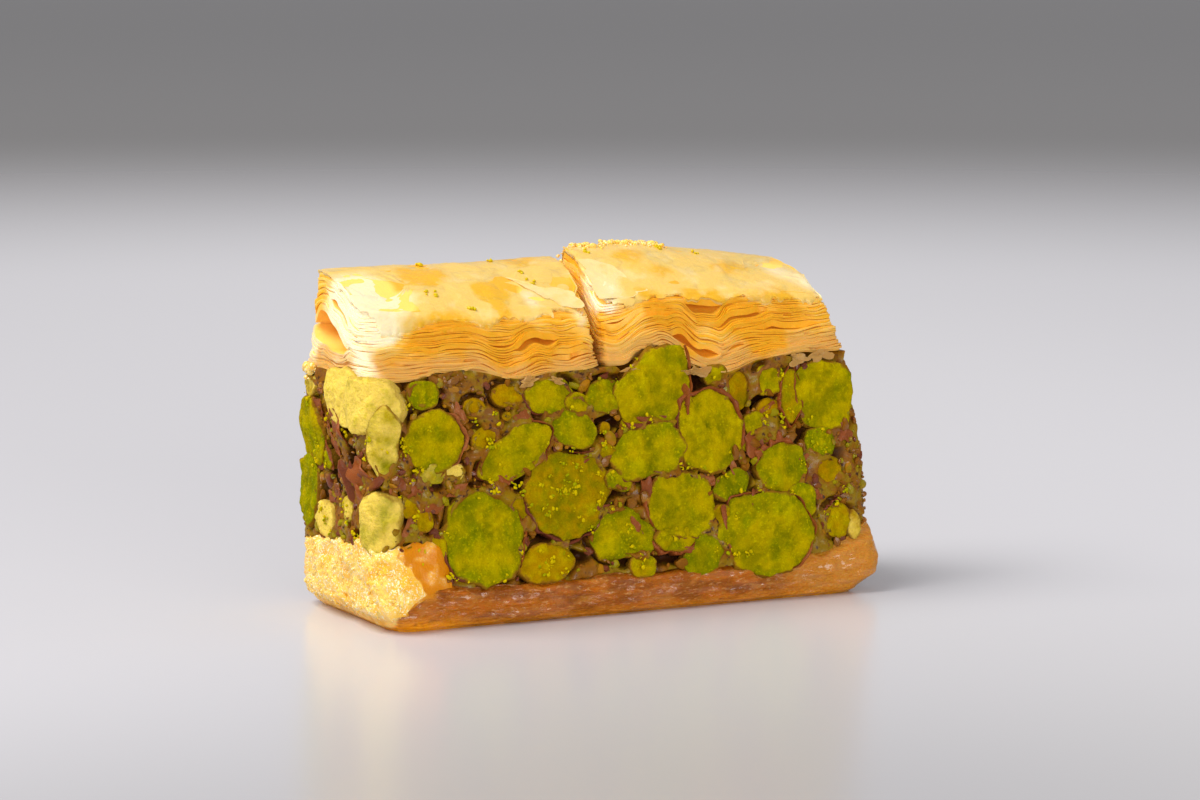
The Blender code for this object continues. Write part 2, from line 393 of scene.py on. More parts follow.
# Each kernel: across, up, width, height (mm), turn (degrees), how it stands proud (mm), how olive, how pale, and
# its outline against an ellipse at eight angles, anticlockwise from its right.
ROUND = (1, 1, 1, 1, 1, 1, 1, 1)
BLOCK = (1, 1.2, 1, 1.2, 1, 1.2, 1, 1.2)
FRONT_KERNELS = [
    (-18.6, 19.3, 3.2, 2.6, 0, 0.0, 0.1, 0.0, (1, 1.1, 1, 1.1, 1, 0.9, 0.9, 1)),
    (-17.9, 15.6, 5.8, 5.2, 0, 0.2, 0.0, 0.0, (1, 0.95, 1, 0.95, 1, 1.05, 1, 1.0)),
    (-18.4, 12.9, 2.9, 1.6, 0, 0.1, 0.6, 0.5, BLOCK),
    (-13.9, 7.6, 7.8, 8.7, 0, 0.3, 0.0, 0.0, (1.03, 0.97, 1, 0.95, 0.98, 1, 1.02, 1.08)),
    (-16.3, 13.0, 2.2, 1.5, -20, 0.1, 0.8, 0.9, BLOCK),
    (-14.1, 18.0, 2.2, 1.8, 0, -0.2, 0.9, 0.0, ROUND),
    (-6.9, 18.6, 5.8, 3.1, -8, 0.1, 0.1, 0.0, (1, 1.1, 1, 0.9, 1, 1.1, 1, 1)),
    (-4.4, 17.7, 2.5, 2.2, 0, 0.0, 0.4, 0.0, ROUND),
    (-5.1, 15.8, 4.9, 3.0, -15, 0.25, 0.1, 0.0, (1, 1.15, 1, 1.0, 1, 1, 1, 1.2)),
    (-10.7, 14.2, 8.5, 4.3, 27, 0.2, 0.25, 0.0, (1, 1, 0.75, 0.9, 1, 1.15, 1.05, 1)),
    (-6.2, 10.4, 8.8, 7.7, 0, 0.3, 0.7, 0.0, (1, 1.1, 0.97, 1.0, 0.95, 0.93, 1.03, 0.98)),
    (-8.3, 4.9, 6.0, 3.4, 4, 0.0, 0.8, 0.0, (1, 1.1, 1, 1, 1, 1, 1, 1)),
    (2.6, 18.8, 7.4, 6.5, 0, 0.35, 0.1, 0.0, (1, 1.42, 0.95, 0.66, 1.0, 1.2, 1, 1.28)),
    (-1.6, 18.3, 4.4, 2.9, 10, 0.05, 0.5, 0.0, ROUND),
    (1.6, 13.5, 7.4, 4.4, 3, 0.25, 0.2, 0.1, (1, 1.28, 0.95, 1.05, 1.0, 1.15, 1.0, 1.15)),
    (7.9, 14.9, 6.2, 7.5, 0, 0.4, 0.15, 0.1, (1, 1.05, 1, 1.08, 1, 1.22, 1, 1.18)),
    (8.9, 19.4, 2.4, 1.7, 0, 0.3, 0.5, 0.3, BLOCK),
    (12.2, 15.2, 2.2, 1.8, 20, 0.2, 0.1, 0.0, BLOCK),
    (10.9, 18.0, 2.1, 4.0, 0, -0.5, 0.9, 0.0, BLOCK),
    (-1.2, 11.2, 2.7, 1.6, -15, 0.0, 0.3, 0.0, BLOCK),
    (4.5, 8.8, 6.3, 5.3, -6, 0.2, 0.15, 0.0, (1, 1.15, 1, 1.25, 1, 1.05, 1, 1.2)),
    (9.5, 10.2, 4.5, 2.1, 18, 0.1, 0.15, 0.0, BLOCK),
    (-1.2, 6.8, 6.5, 4.6, 8, 0.15, 0.15, 0.0, (1, 1.0, 1.1, 0.9, 1, 1.15, 0.95, 1.25)),
    (3.8, 6.0, 4.3, 2.0, -4, 0.1, 0.4, 0.0, BLOCK),
    (6.5, 4.5, 4.8, 3.4, 8, 0.15, 0.25, 0.0, (1, 1, 1.15, 0.8, 1, 1.25, 1, 1)),
    (12.5, 5.9, 9.1, 7.6, 0, 0.35, 0.2, 0.0, (1, 1.1, 0.9, 1.08, 1, 0.97, 1, 0.98)),
    (14.1, 18.8, 2.9, 2.6, 0, 0.0, 0.0, 0.0, BLOCK),
    (16.0, 17.3, 2.1, 5.8, -6, 0.3, 0.6, 0.0, ROUND),
    (19.3, 16.9, 5.5, 6.3, 0, 0.4, 0.0, 0.1, (1.05, 1.25, 1, 1.35, 1.02, 1.15, 0.85, 1.25)),
    (18.5, 13.2, 3.1, 2.4, 0, 0.2, 0.0, 0.2, BLOCK),
    (14.5, 11.3, 4.9, 4.5, 0, 0.15, 0.25, 0.0, (1, 1.1, 1, 0.9, 1, 1, 1, 1.15)),
    (19.6, 6.4, 2.7, 3.6, 0, -0.1, 0.6, 0.2, ROUND),
    (16.2, 8.4, 3.0, 3.4, 0, 0.1, 0.2, 0.0, ROUND),
    (21.2, 6.0, 1.3, 3.4, 0, 0.1, 0.8, 0.6, ROUND),
    (-20.3, 10.2, 1.9, 1.6, 0, 0.1, 0.8, 0.0, BLOCK), (-19.4, 9.2, 1.8, 2.1, 0, 0.0, 0.9, 0.0, BLOCK),
    (0.5, 4.0, 2.7, 1.9, 0, 0.1, 0.5, 0.2, BLOCK), (-2.2, 13.6, 2.2, 1.7, 0, -0.1, 0.7, 0.0, ROUND),
    (-11.0, 18.9, 3.4, 2.0, -10, -0.2, 0.9, 0.0, ROUND), (-13.2, 15.4, 2.9, 1.9, 30, -0.2, 0.8, 0.0, BLOCK),
    (-10.4, 9.5, 2.0, 2.9, 20, -0.1, 0.8, 0.0, BLOCK), (-18.6, 6.7, 2.5, 2.2, 0, -0.1, 0.7, 0.2, BLOCK),
    (0.6, 15.9, 2.5, 1.3, 0, -0.1, 0.5, 0.0, BLOCK), (8.4, 7.3, 1.9, 2.7, 15, -0.1, 0.7, 0.0, BLOCK),
]
LEFT_KERNELS = [
    (-1.4, 18.8, 7.2, 5.2, -6, 0.5, 0.45, 0.95, (1, 1.1, 0.95, 1.1, 1, 0.9, 0.9, 1)),
    (5.2, 15.3, 4.8, 6.4, 30, 0.3, 0.05, 0.1, BLOCK),
    (6.0, 10.2, 4.0, 6.8, 0, 0.25, 0.25, 0.25, (1, 1, 1, 1.1, 1, 1.1, 1, 1)),
    (2.8, 8.0, 3.8, 3.0, 0, 0.3, 0.7, 1.0, BLOCK),
    (-1.9, 9.6, 2.2, 2.6, 0, 0.25, 0.6, 0.6, ROUND),
    (2.4, 13.2, 2.6, 1.5, 0, 0.1, 0.1, 0.1, BLOCK),
    (-3.6, 12.4, 1.6, 1.4, 0, 0.1, 0.4, 0.3, BLOCK),
    (5.4, 19.2, 3.4, 2.0, 0, 0.0, 0.7, 0.6, ROUND),
]
# Kernels on the upright corner between them: across, into the plate, up, the way they face (degrees from the left
# end round to the front), width, height, then as above.
CORNER_KERNELS = [
    (-23.1, -5.4, 18.5, 38, 5.9, 5.0, 3, 0.35, 0.3, 0.8, (0.9, 1.05, 1, 1.2, 1, 1.1, 0.85, 1.1)),
    (-22.5, -6.8, 15.6, 62, 2.6, 7.4, -2, 0.45, 0.0, 0.62, (1, 1.2, 1, 1.15, 1, 1.0, 0.9, 1.2)),
    (-22.9, -7.0, 8.9, 45, 3.6, 5.3, 2, 0.55, 0.1, 0.66, (1, 1.25, 1, 1.2, 1, 1.1, 0.95, 1.1)),
]
CORNER_BEND = 0.2

filling = Wall("pistachio_filling", 880)


class Face:
    """A place on the filling's side: its middle, and the ways right, up and outwards."""

    def __init__(self, start, way, turn=0, plumb=False):
        spot, normal, _, _ = filling.tree.ray_cast(Vector(start), Vector(way))
        self.middle = np.array(spot)
        out = -Vector(way)
        if normal.dot(out) > 0.5 and not plumb:
            out = normal
        right = Vector((-out.y, out.x, 0)).normalized()
        up = out.cross(right)
        turn = math.radians(turn)
        self.right = np.array(right * math.cos(turn) + up * math.sin(turn))
        self.up = np.array(up * math.cos(turn) - right * math.sin(turn))
        self.out = np.array(out)

    def place(self, local):
        """Points given as (right, up, out) put into the frame."""
        return self.middle + local @ np.array([self.right, self.up, self.out])


def outline(angles, width, height, shape, seed):
    """The distance from a kernel's middle to its edge, in each direction: eight nearly straight sides."""
    eighth = math.pi / 4
    turns = np.arange(9) * eighth
    inverse = np.hypot(np.cos(turns) * 2 / width, np.sin(turns) * 2 / height) / np.array(list(shape) + [shape[0]])
    k = np.minimum((angles / eighth).astype(int), 7)
    along = angles - k * eighth
    straight = (np.sin(eighth - along) * inverse[k] + np.sin(along) * inverse[k + 1]) / math.sin(eighth)
    edge = even_out(1 / straight, max(1, len(angles) // 14))
    around = np.column_stack([np.cos(angles), np.sin(angles), np.full(len(angles), seed * 7.3)])
    uneven = 0.09 * lumps(around, 0.9, seed) + 0.025 * lumps(around, 0.35, seed) + 0.02 * lumps(around, 0.12, seed)
    return edge * (1.02 + uneven)


def kernel(parts, face, width, height, proud, olive, pale, shape, seed, bend=0):
    """Adds one cut kernel, in mm, with its cut face outwards; bend wraps it round an upright corner."""
    count = int(np.clip((width + height) * 1.6 / 0.22, 20, 110))
    angles = np.arange(count) / count * 2 * math.pi
    edge = outline(angles, width, height, shape, seed)
    small = min(width, height)
    rings = max(4, int(small / 2 / 0.23))
    profile = [(0.95 * k / rings, 0) for k in range(rings + 1)]
    profile += [(0.975, -0.06), (0.995, -0.20), (1.005, -0.42), (1.01, -0.8), (0.9, -1.3), (0.0, -1.6)]
    out = []
    for share, drop in profile:
        swell = 0.025 * small * (1 - min(share, 1) ** 2)
        r = edge * share
        rise = np.full(count, 0.45 * proud - 0.03 + drop + swell)
        out.append(np.column_stack([r * np.cos(angles), r * np.sin(angles), rise]))
    points = np.concatenate(out)
    share = np.array([s for s, _ in profile]).repeat(count)
    drop = np.array([d for _, d in profile]).repeat(count)
    probe = points + (seed * 11.0, 0, 0)
    rough = 0.18 * lumps(probe, 1.7, 21) + 0.13 * lumps(probe, 0.8, 22) + 0.09 * lumps(probe, 0.36, 23)
    rough += 0.07 * lumps(probe * (1, 0.3, 1), 0.4, 24)
    points[:, 2] += rough - bend * points[:, 0] ** 2
    points[:, :2] *= (1 + 0.3 * rough * (drop < -0.02))[:, None]
    rim = np.tile(edge, len(profile)) * (1 - share) + np.maximum(drop, -0.4)
    parts.add(face.place(points * MM), tube_faces(len(profile), count), rim=rim, olive=olive, pale=pale,
              mood=(seed * 0.37) % 1, rough=rough)


def between_kernels(across, up, reach):
    """Whether a small kernel would fit on the front between those already there."""
    for face, width, height, _, _, _ in placed:
        spread = (across * MM - face.middle[0]) * face.right[0] + (up * MM - face.middle[2]) * face.right[2]
        rise = (across * MM - face.middle[0]) * face.up[0] + (up * MM - face.middle[2]) * face.up[2]
        if math.hypot(spread / MM / (width / 2 + reach), rise / MM / (height / 2 + reach)) < 1:
            return False
    return True


placed = []
front_kernels = Parts()
for seed, (across, up, width, height, turn, proud, olive, pale, shape) in enumerate(FRONT_KERNELS):
    face = Face((across * MM, -1, up * MM), (0, 1, 0), turn)
    kernel(front_kernels, face, width, height, proud, olive, pale, shape, seed + 1)
    placed.append((face, width, height, shape, seed + 1, proud))
chance = np.random.default_rng(37)
for size in np.linspace(3.0, 1.0, 520):
    across, up, slim = chance.uniform(-21, 20.5), chance.uniform(4.4, 19.0), chance.uniform(0.55, 1)
    turn, olive, pale, proud = chance.uniform(-60, 60), 0.45 + 0.6 * chance.random(), 0.3 * chance.random() ** 3, chance.uniform(-0.3, 0.15)
    if between_kernels(across, up, 0.36 * size):
        face = Face((across * MM, -1, up * MM), (0, 1, 0), turn)
        shape = tuple(chance.uniform(0.9, 1.2, 8))
        kernel(front_kernels, face, size, size * slim, proud, olive, pale, shape, 60 + len(placed))
        placed.append((face, size, size * slim, shape, 60 + len(placed), proud))
front_kernels = front_kernels.build("front_pistachios", crease=80)

left_kernels = Parts()
for seed, (across, up, width, height, turn, proud, olive, pale, shape) in enumerate(LEFT_KERNELS):
    face = Face((-1, across * MM, up * MM), (1, 0, 0), turn)
    kernel(left_kernels, face, width, height, proud, olive, pale, shape, seed + 101)
    placed.append((face, width, height, shape, seed + 101, proud))
for seed, (across, deep, up, facing, width, height, turn, proud, olive, pale, shape) in enumerate(CORNER_KERNELS):
    out = Vector((-math.cos(math.radians(facing)), -math.sin(math.radians(facing)), 0))
    face = Face(Vector((across, deep, up)) * MM + out * 10 * MM, -out, turn, plumb=True)
    kernel(left_kernels, face, width, height, proud, olive, pale, shape, seed + 131, CORNER_BEND)
    placed.append((face, width, height, shape, seed + 131, proud))
left_kernels = left_kernels.build("left_end_pistachios", crease=80)


def strew(parts, start_of, way, across_range, up_range, seed):
    """Fills a side with kernels, large ones first, wherever one still fits."""
    chance = np.random.default_rng(seed)
    taken = []
    for size in np.linspace(7.2, 1.7, 460):
        across = chance.uniform(across_range[0] + size / 2, across_range[1] - size / 2)
        up = chance.uniform(*up_range)
        slim = chance.uniform(0.6, 1.0)
        width, height = (size, size * slim) if chance.random() < 0.6 else (size * slim, size)
        turn, olive = chance.uniform(-30, 30), chance.random() ** 1.6
        corners = tuple(chance.uniform(0.92, 1.16, 8))
        pale, proud = 0.5 * chance.random() ** 4, chance.uniform(0, 0.35)
        reach = 0.44 * math.sqrt(width * height)
        if all(math.hypot(across - a, up - u) > reach + r + 0.15 for a, u, r in taken):
            taken.append((across, up, reach))
            face = Face(start_of(across * MM, up * MM), way, turn)
            kernel(parts, face, width, height, proud, olive, pale, corners, seed + len(taken))
            placed.append((face, width, height, corners, seed + len(taken), proud))


back_kernels = Parts()
strew(back_kernels, lambda across, up: (across, 1, up), (0, -1, 0), (-22.3, 22.3), (5.2, 19.0), 301)
back_kernels = back_kernels.build("back_pistachios", crease=80)
right_kernels = Parts()
strew(right_kernels, lambda across, up: (1, across, up), (-1, 0, 0), (-6.4, 7.0), (7.4, 18.4), 501)
right_kernels = right_kernels.build("right_end_pistachios", crease=80)

finish = Finish("pistachio", Roughness=0.6, Subsurface_Weight=0.25, Subsurface_Scale=0.0008,
                Subsurface_Radius=(0.9, 1.0, 0.12), Specular_IOR_Level=0.01)
rim, olive, pale, mood, rough = [finish.stored(name) for name in ("rim", "olive", "pale", "mood", "rough")]
heart = finish.step(rim + 0.8 * finish.noise(1.5 * MM, 3), 0.5, 1.7)
green = finish.mix(finish.step(finish.noise(2.0 * MM, 3) + 0.35 * mood, 0.5, 0.9), LEAF_GREEN, YELLOW_GREEN)
green = finish.mix(heart * finish.step(finish.noise(0.9 * MM, 4, (1, 1, 3)), 0.38, 0.68) * 0.6, green, YELLOW_GREEN)
green = finish.mix(finish.step(finish.noise(1.3 * MM, 4), 0.42, 0.74) * 0.55, green, DEEP_GREEN)
green = finish.mix(finish.step(finish.noise(0.22 * MM, 3), 0.54, 0.68) * 0.6, green, BRIGHT_GREEN)
flesh = finish.mix(finish.step(olive + 0.9 * finish.noise(0.8 * MM, 4), 0.75, 1.5), green, OLIVE)
pale = finish.step(pale + 0.7 * finish.noise(1.3 * MM, 3), 0.75, 1.15)
flesh = finish.mix(pale, flesh, PALE_YELLOW)
flesh = finish.mix(pale * finish.step(finish.noise(0.35 * MM, 3), 0.55, 0.7) * 0.4, flesh, BRIGHT_GREEN)
# Painted shade and highlight: kernel faces are darker where their relief dips and lighter where it rises.
flesh = finish.mix(finish.step(rough, 0.02, -0.22) * (0.5 - 0.4 * pale), flesh, DEEP_GREEN)
flesh = finish.mix(finish.step(rough, 0.06, 0.26) * 0.5, flesh, BRIGHT_GREEN)
smear = finish.step(rim + 1.2 * finish.noise(1.2 * MM, 4, rough=0.6), 0.82, 0.52)
flesh = finish.mix(smear * (0.9 - 0.5 * pale), flesh, RIM_BROWN)
finish.feed(
    Base_Color=flesh,
    Normal=finish.bump(finish.noise(0.26 * MM, 4), 0.22 * MM, 0.9),
)
for piece in (front_kernels, left_kernels, back_kernels, right_kernels):
    finish.on(piece, "pistachio_filling")

# ---- Nut paste ----
# The filling between the larger nuts: fine nut meal, torn skins and syrup, pressed into a wet, uneven mass with
# some holes. It reaches right through the piece, and into both crusts.

PASTE_OLIVE = (0.25, 0.145, 0.001, 1)
PASTE_BROWN = (0.23, 0.085, 0.002, 1)
PASTE_MAUVE = (0.22, 0.085, 0.015, 1)
# Near black, for dark bits in the paste and for its painted shade.
PASTE_DARK = (0.05, 0.014, 0.003, 1)
# Holes in the front (across, up, width, height, depth in mm) and in the left end (depth into the plate, up, ...).
FRONT_HOLES = [
    (-6.3, 7.1, 5.6, 0.9, 1.6), (-5.2, 5.0, 2.0, 1.0, 1.4), (6.7, 18.9, 2.6, 1.6, 2.4), (11.2, 18.0, 1.6, 3.0, 1.6),
    (13.5, 16.6, 2.2, 1.5, 2.2), (-1.7, 10.1, 2.2, 0.7, 1.6), (3.5, 4.3, 2.6, 0.9, 1.5), (-1.1, 4.4, 1.6, 1.0, 1.4),
    (17.1, 13.9, 1.4, 1.2, 2.0), (18.5, 14.8, 1.7, 0.8, 1.8), (20.3, 12.1, 1.3, 1.0, 1.4), (-20.9, 9.4, 1.4, 1.1, 1.6),
    (-19.0, 8.4, 1.0, 1.0, 1.4), (-1.6, 16.0, 2.2, 0.8, 1.4), (-13.0, 12.2, 1.0, 0.8, 1.2), (-10.5, 11.6, 1.2, 0.8, 1.4),
    (5.8, 11.9, 1.6, 0.7, 1.2), (0.4, 12.0, 1.8, 0.7, 1.0), (-18.0, 11.8, 1.2, 0.7, 1.0), (-20.2, 17.9, 1.0, 1.4, 1.0),
]
LEFT_HOLES = [(0.9, 13.0, 2.6, 3.6, 2.6), (-2.6, 13.6, 1.4, 3.4, 1.8), (3.2, 10.4, 1.6, 1.4, 1.4), (-3.8, 7.4, 1.4, 1.2, 1.2)]


def beyond_kernels(points):
    """How far points of the side are beyond the edge of the nearest kernel, in mm: below 0 on a kernel."""
    full = np.arange(120) / 120 * 2 * math.pi
    gap = np.full(len(points), 9.0)
    for face, width, height, shape, seed, _ in placed:
        local = (points - face.middle) / MM
        near = np.flatnonzero(np.linalg.norm(local, axis=1) < 0.75 * max(width, height) + 1)
        right, up = local[near] @ face.right, local[near] @ face.up
        edge = outline(full, width, height, shape, seed)
        away = np.hypot(right, up) - np.interp(np.arctan2(up, right) % (2 * math.pi), full, edge, period=2 * math.pi)
        gap[near] = np.minimum(gap[near], away)
    return gap


shares = np.linspace(-0.02, 1.02, 106)
loops, reaches = filling.loops(shares)
flat = loops.reshape(-1, 3)
column = np.tile(filling.away, (len(shares), 1))
gap = beyond_kernels(flat)
relief = -0.08 + 0.18 * lumps(flat, 1.6 * MM, 11) + 0.18 * lumps(flat, 0.8 * MM, 12) + 0.14 * lumps(flat, 0.38 * MM, 13)
# Round a kernel the paste has drawn back into a dark crevice in some places, and is smeared over its edge in others.
drawn_back = smooth((lumps(flat, 1.5 * MM, 15) + 0.25) / 0.35)
crevice = drawn_back * np.exp(-(((gap - 0.12) / 0.28) ** 2))
relief -= 0.85 * crevice + 0.35 * smooth((-0.35 - gap) / 0.4)
relief += 0.16 * (1 - drawn_back) * np.exp(-(((gap + 0.15) / 0.3) ** 2))
for across, up, width, height, deep in FRONT_HOLES:
    ripple = 1 + 0.25 * lumps(flat, 0.7 * MM, 14)
    near = np.hypot((flat[:, 0] / MM - across) / width, (flat[:, 2] / MM - up) / height) * 2 * ripple
    relief -= deep * smooth(1.45 - near) * (column[:, 1] < -0.7)
for across, up, width, height, deep in LEFT_HOLES:
    near = np.hypot((flat[:, 1] / MM - across) / width, (flat[:, 2] / MM - up) / height) * 2
    relief -= deep * smooth(1.45 - near) * (column[:, 0] < -0.7)
# Painted shade: the paste is darkened where its relief sinks deep, in crevices round kernels and in the holes.
hollow = 0.6 * smooth((-0.22 - relief) / 0.3) + 0.4 * smooth((-0.5 - relief) / 0.6)
flat[:, :2] += column * (relief * MM)[:, None]
loops = flat.reshape(loops.shape)
below = np.column_stack([filling.spine, filling.height(filling.spine, up=True)])
above = np.column_stack([filling.spine, filling.height(filling.spine)])
rings = [loops[0] * (1 - s) + below * s for s in (1, 0.4, 0.05)] + list(loops)
rings += [loops[-1] * (1 - s) + above * s for s in (0.05, 0.4, 1)]
paste = Parts()
paste.add(np.concatenate(rings), tube_faces(len(rings), filling.count),
          hollow=np.concatenate([np.zeros(3 * filling.count), hollow, np.zeros(3 * filling.count)]))
paste = paste.build("nut_paste", crease=80)

finish = Finish("nut_paste", Roughness=0.45, Subsurface_Weight=0.25, Subsurface_Scale=0.001,
                Subsurface_Radius=(1.0, 0.5, 0.2), Coat_Roughness=0.15, Specular_IOR_Level=0.1)
colour = finish.mix(finish.step(finish.noise(1.6 * MM, 3), 0.42, 0.58), PASTE_OLIVE, PASTE_BROWN)
colour = finish.mix(finish.step(finish.noise(1.4 * MM, 3, (1.4, 1, 1)), 0.56, 0.68), colour, PASTE_MAUVE)
colour = finish.mix(finish.step(finish.noise(0.5 * MM, 3), 0.56, 0.7), colour, PASTE_DARK)
colour = finish.mix(finish.stored("hollow"), colour, PASTE_DARK)
finish.feed(
    Base_Color=colour,
    Coat_Weight=0.3 * finish.step(finish.noise(1.0 * MM, 2), 0.45, 0.65),
    Normal=finish.bump(finish.noise(0.25 * MM, 3), 0.10 * MM, 0.7),
)
finish.on(paste, "pistachio_filling", "pistachio_filling")

# ---- Nut rubble ----
# Fine pieces of chopped nut, from half a millimetre across, bedded in the paste between the larger kernels. Most
# are olive or brown with syrup, some are still green, and some are bits of purple skin.

RUBBLE_COUNT = 1400
GRAIN_OLIVE = (0.26, 0.155, 0.001, 1)
GRAIN_GREEN = (0.27, 0.215, 0.0, 1)
GRAIN_BROWN = (0.22, 0.08, 0.003, 1)
GRAIN_PURPLE = (0.15, 0.036, 0.012, 1)
GRAIN_AMBER = (0.36, 0.15, 0.002, 1)

bpy.ops.object.select_all(action="DESELECT")
bpy.ops.mesh.primitive_ico_sphere_add(subdivisions=2, radius=1)
pebble = bpy.context.object
pebble_points = np.array([v.co for v in pebble.data.vertices])
pebble_faces = [tuple(p.vertices) for p in pebble.data.polygons]
bpy.data.objects.remove(pebble)


def grains(parts, spots, outs, sizes, chance, flat=0.75, rough=0.5, **paints):
    """Adds a small uneven grain at each spot, squashed along out; sizes are radii in metres."""
    for n, (spot, out, size) in enumerate(zip(spots, outs, sizes)):
        spin = chance.normal(size=3)
        side = np.cross(out, spin)
        side /= np.linalg.norm(side)
        other = np.cross(out, side)
        cuts = chance.normal(size=(9, 3))
        cuts /= np.linalg.norm(cuts, axis=1)[:, None]
        flats = chance.uniform(0.75, 1.1, 9) / np.maximum(pebble_points @ cuts.T, 0.3)
        bumps = np.minimum(flats.min(axis=1), 1.25) + 0.3 * rough * lumps(pebble_points + chance.uniform(0, 900, 3), 0.8, 31)
        shape = pebble_points * bumps[:, None] * (chance.uniform(0.8, 1.4), chance.uniform(0.6, 1.0), flat)
        points = spot + (shape @ np.array([side, other, out])) * size
        parts.add(points, pebble_faces, **{name: values[n] for name, values in paints.items()})


def on_kernel(point, margin=0.93):
    """Whether a point on the side is on a kernel's cut face."""
    for face, width, height, _, _, _ in placed:
        away = point - face.middle
        if abs(away @ face.out) < 1.5 * MM:
            if math.hypot(away @ face.right / width, away @ face.up / height) * 2 / MM < margin:
                return True
    return False


def in_hole(point, normal):
    """Whether a point on the side is over one of the holes."""
    holes = FRONT_HOLES if normal[1] < -0.6 else LEFT_HOLES if normal[0] < -0.6 else []
    along = point[0] if normal[1] < -0.6 else point[1]
    for across, up, width, height, _ in holes:
        if math.hypot((along / MM - across) / width, (point[2] / MM - up) / height) * 2 < 1.05:
            return True
    return False


chance = np.random.default_rng(41)
side_rows, _ = filling.loops(np.linspace(0.01, 0.99, 60))
spots, outs, sizes, kinds = [], [], [], []
while len(spots) < RUBBLE_COUNT:
    row, index = chance.integers(60), chance.integers(filling.count)
    point = side_rows[row, index] + chance.uniform(-0.12, 0.12, 3) * MM
    out = np.append(filling.away[index], 0.0)
    if on_kernel(point) or in_hole(point, out):
        continue
    size = (0.13 + 0.45 * chance.random() ** 2.4) * MM
    spots.append(point - out * (0.08 * MM + size * 0.65 - chance.uniform(0, 0.14) * MM))
    outs.append(out)
    sizes.append(size)
    kinds.append(chance.random())
rubble = Parts()
grains(rubble, spots, outs, sizes, chance, kind=kinds)
rubble = rubble.build("nut_rubble", merge=False, crease=24)

finish = Finish("nut_rubble", Roughness=0.5, Subsurface_Weight=0.25, Subsurface_Scale=0.0008,
                Subsurface_Radius=(1.0, 0.6, 0.2), Coat_Roughness=0.15, Specular_IOR_Level=0.08)
kind = finish.stored("kind")
zone = finish.noise(3 * MM, 2)
colour = finish.mix(finish.step(kind + 0.9 * zone, 0.50, 0.70), GRAIN_GREEN, GRAIN_OLIVE)
colour = finish.mix(finish.step(kind + 0.9 * zone, 0.66, 0.72), colour, GRAIN_AMBER)
colour = finish.mix(finish.step(kind + 0.9 * zone, 0.76, 0.86), colour, GRAIN_BROWN)
colour = finish.mix(finish.step(kind + 0.5 * zone, 1.05, 1.12), colour, GRAIN_PURPLE)
finish.feed(
    Base_Color=colour,
    Coat_Weight=0.5 * finish.step(zone, 0.4, 0.6),
    Normal=finish.bump(finish.noise(0.15 * MM, 3), 0.05 * MM, 0.7),
)
finish.on(rubble, "pistachio_filling", "pistachio_filling")

# ---- Nut skins ----
# Each kernel had a papery skin, purple to red-brown. It stays as a hood or a line along the edge of some
# kernels, and shreds of it lie between them.

SKIN_PURPLE = (0.15, 0.035, 0.015, 1)
SKIN_BROWN = (0.26, 0.065, 0.010, 1)
SKIN_PINK = (0.34, 0.11, 0.03, 1)
# Skin left on a front kernel: its place in the list, from and to (degrees, anticlockwise from its right),
# thickness and how far it stands proud (mm), and how light it is.
EDGE_SKINS = [
    (1, -60, 62, 0.28, 0.12, 0.9), (3, -45, 100, 0.20, 0.08, 0.6), (3, 190, 250, 0.25, 0.0, 0.2),
    (9, -70, 35, 0.22, 0.05, 0.4), (9, 120, 200, 0.2, 0.0, 0.3), (10, 185, 345, 0.30, 0.0, 0.1),
    (10, 20, 80, 0.2, 0.0, 0.3), (12, -62, 45, 0.25, 0.08, 0.7), (12, 222, 305, 0.55, 0.12, 0.35),
    (14, -40, 35, 0.22, 0.05, 0.5), (14, 190, 260, 0.2, 0.0, 0.3), (15, -35, 150, 0.38, 0.2, 0.45),
    (15, 150, 215, 0.2, 0.0, 0.2), (20, 245, 350, 0.28, 0.0, 0.3), (20, 140, 220, 0.3, 0.05, 0.6),
    (22, 300, 370, 0.3, 0.0, 0.3), (23, 185, 355, 0.42, 0.1, 0.5), (25, -55, 50, 0.25, 0.1, 0.75),
    (25, 95, 190, 0.2, 0.0, 0.4), (27, 15, 345, 0.24, 0.12, 0.5), (28, 140, 215, 0.2, 0.05, 0.4),
    (30, 55, 175, 0.6, 0.15, 0.5), (30, -70, 10, 0.2, 0.0, 0.3), (8, 150, 260, 0.2, 0.0, 0.4),
    (6, 180, 250, 0.2, 0.0, 0.2), (24, -20, 60, 0.3, 0.1, 0.9), (31, 60, 200, 0.25, 0.05, 0.3),
]
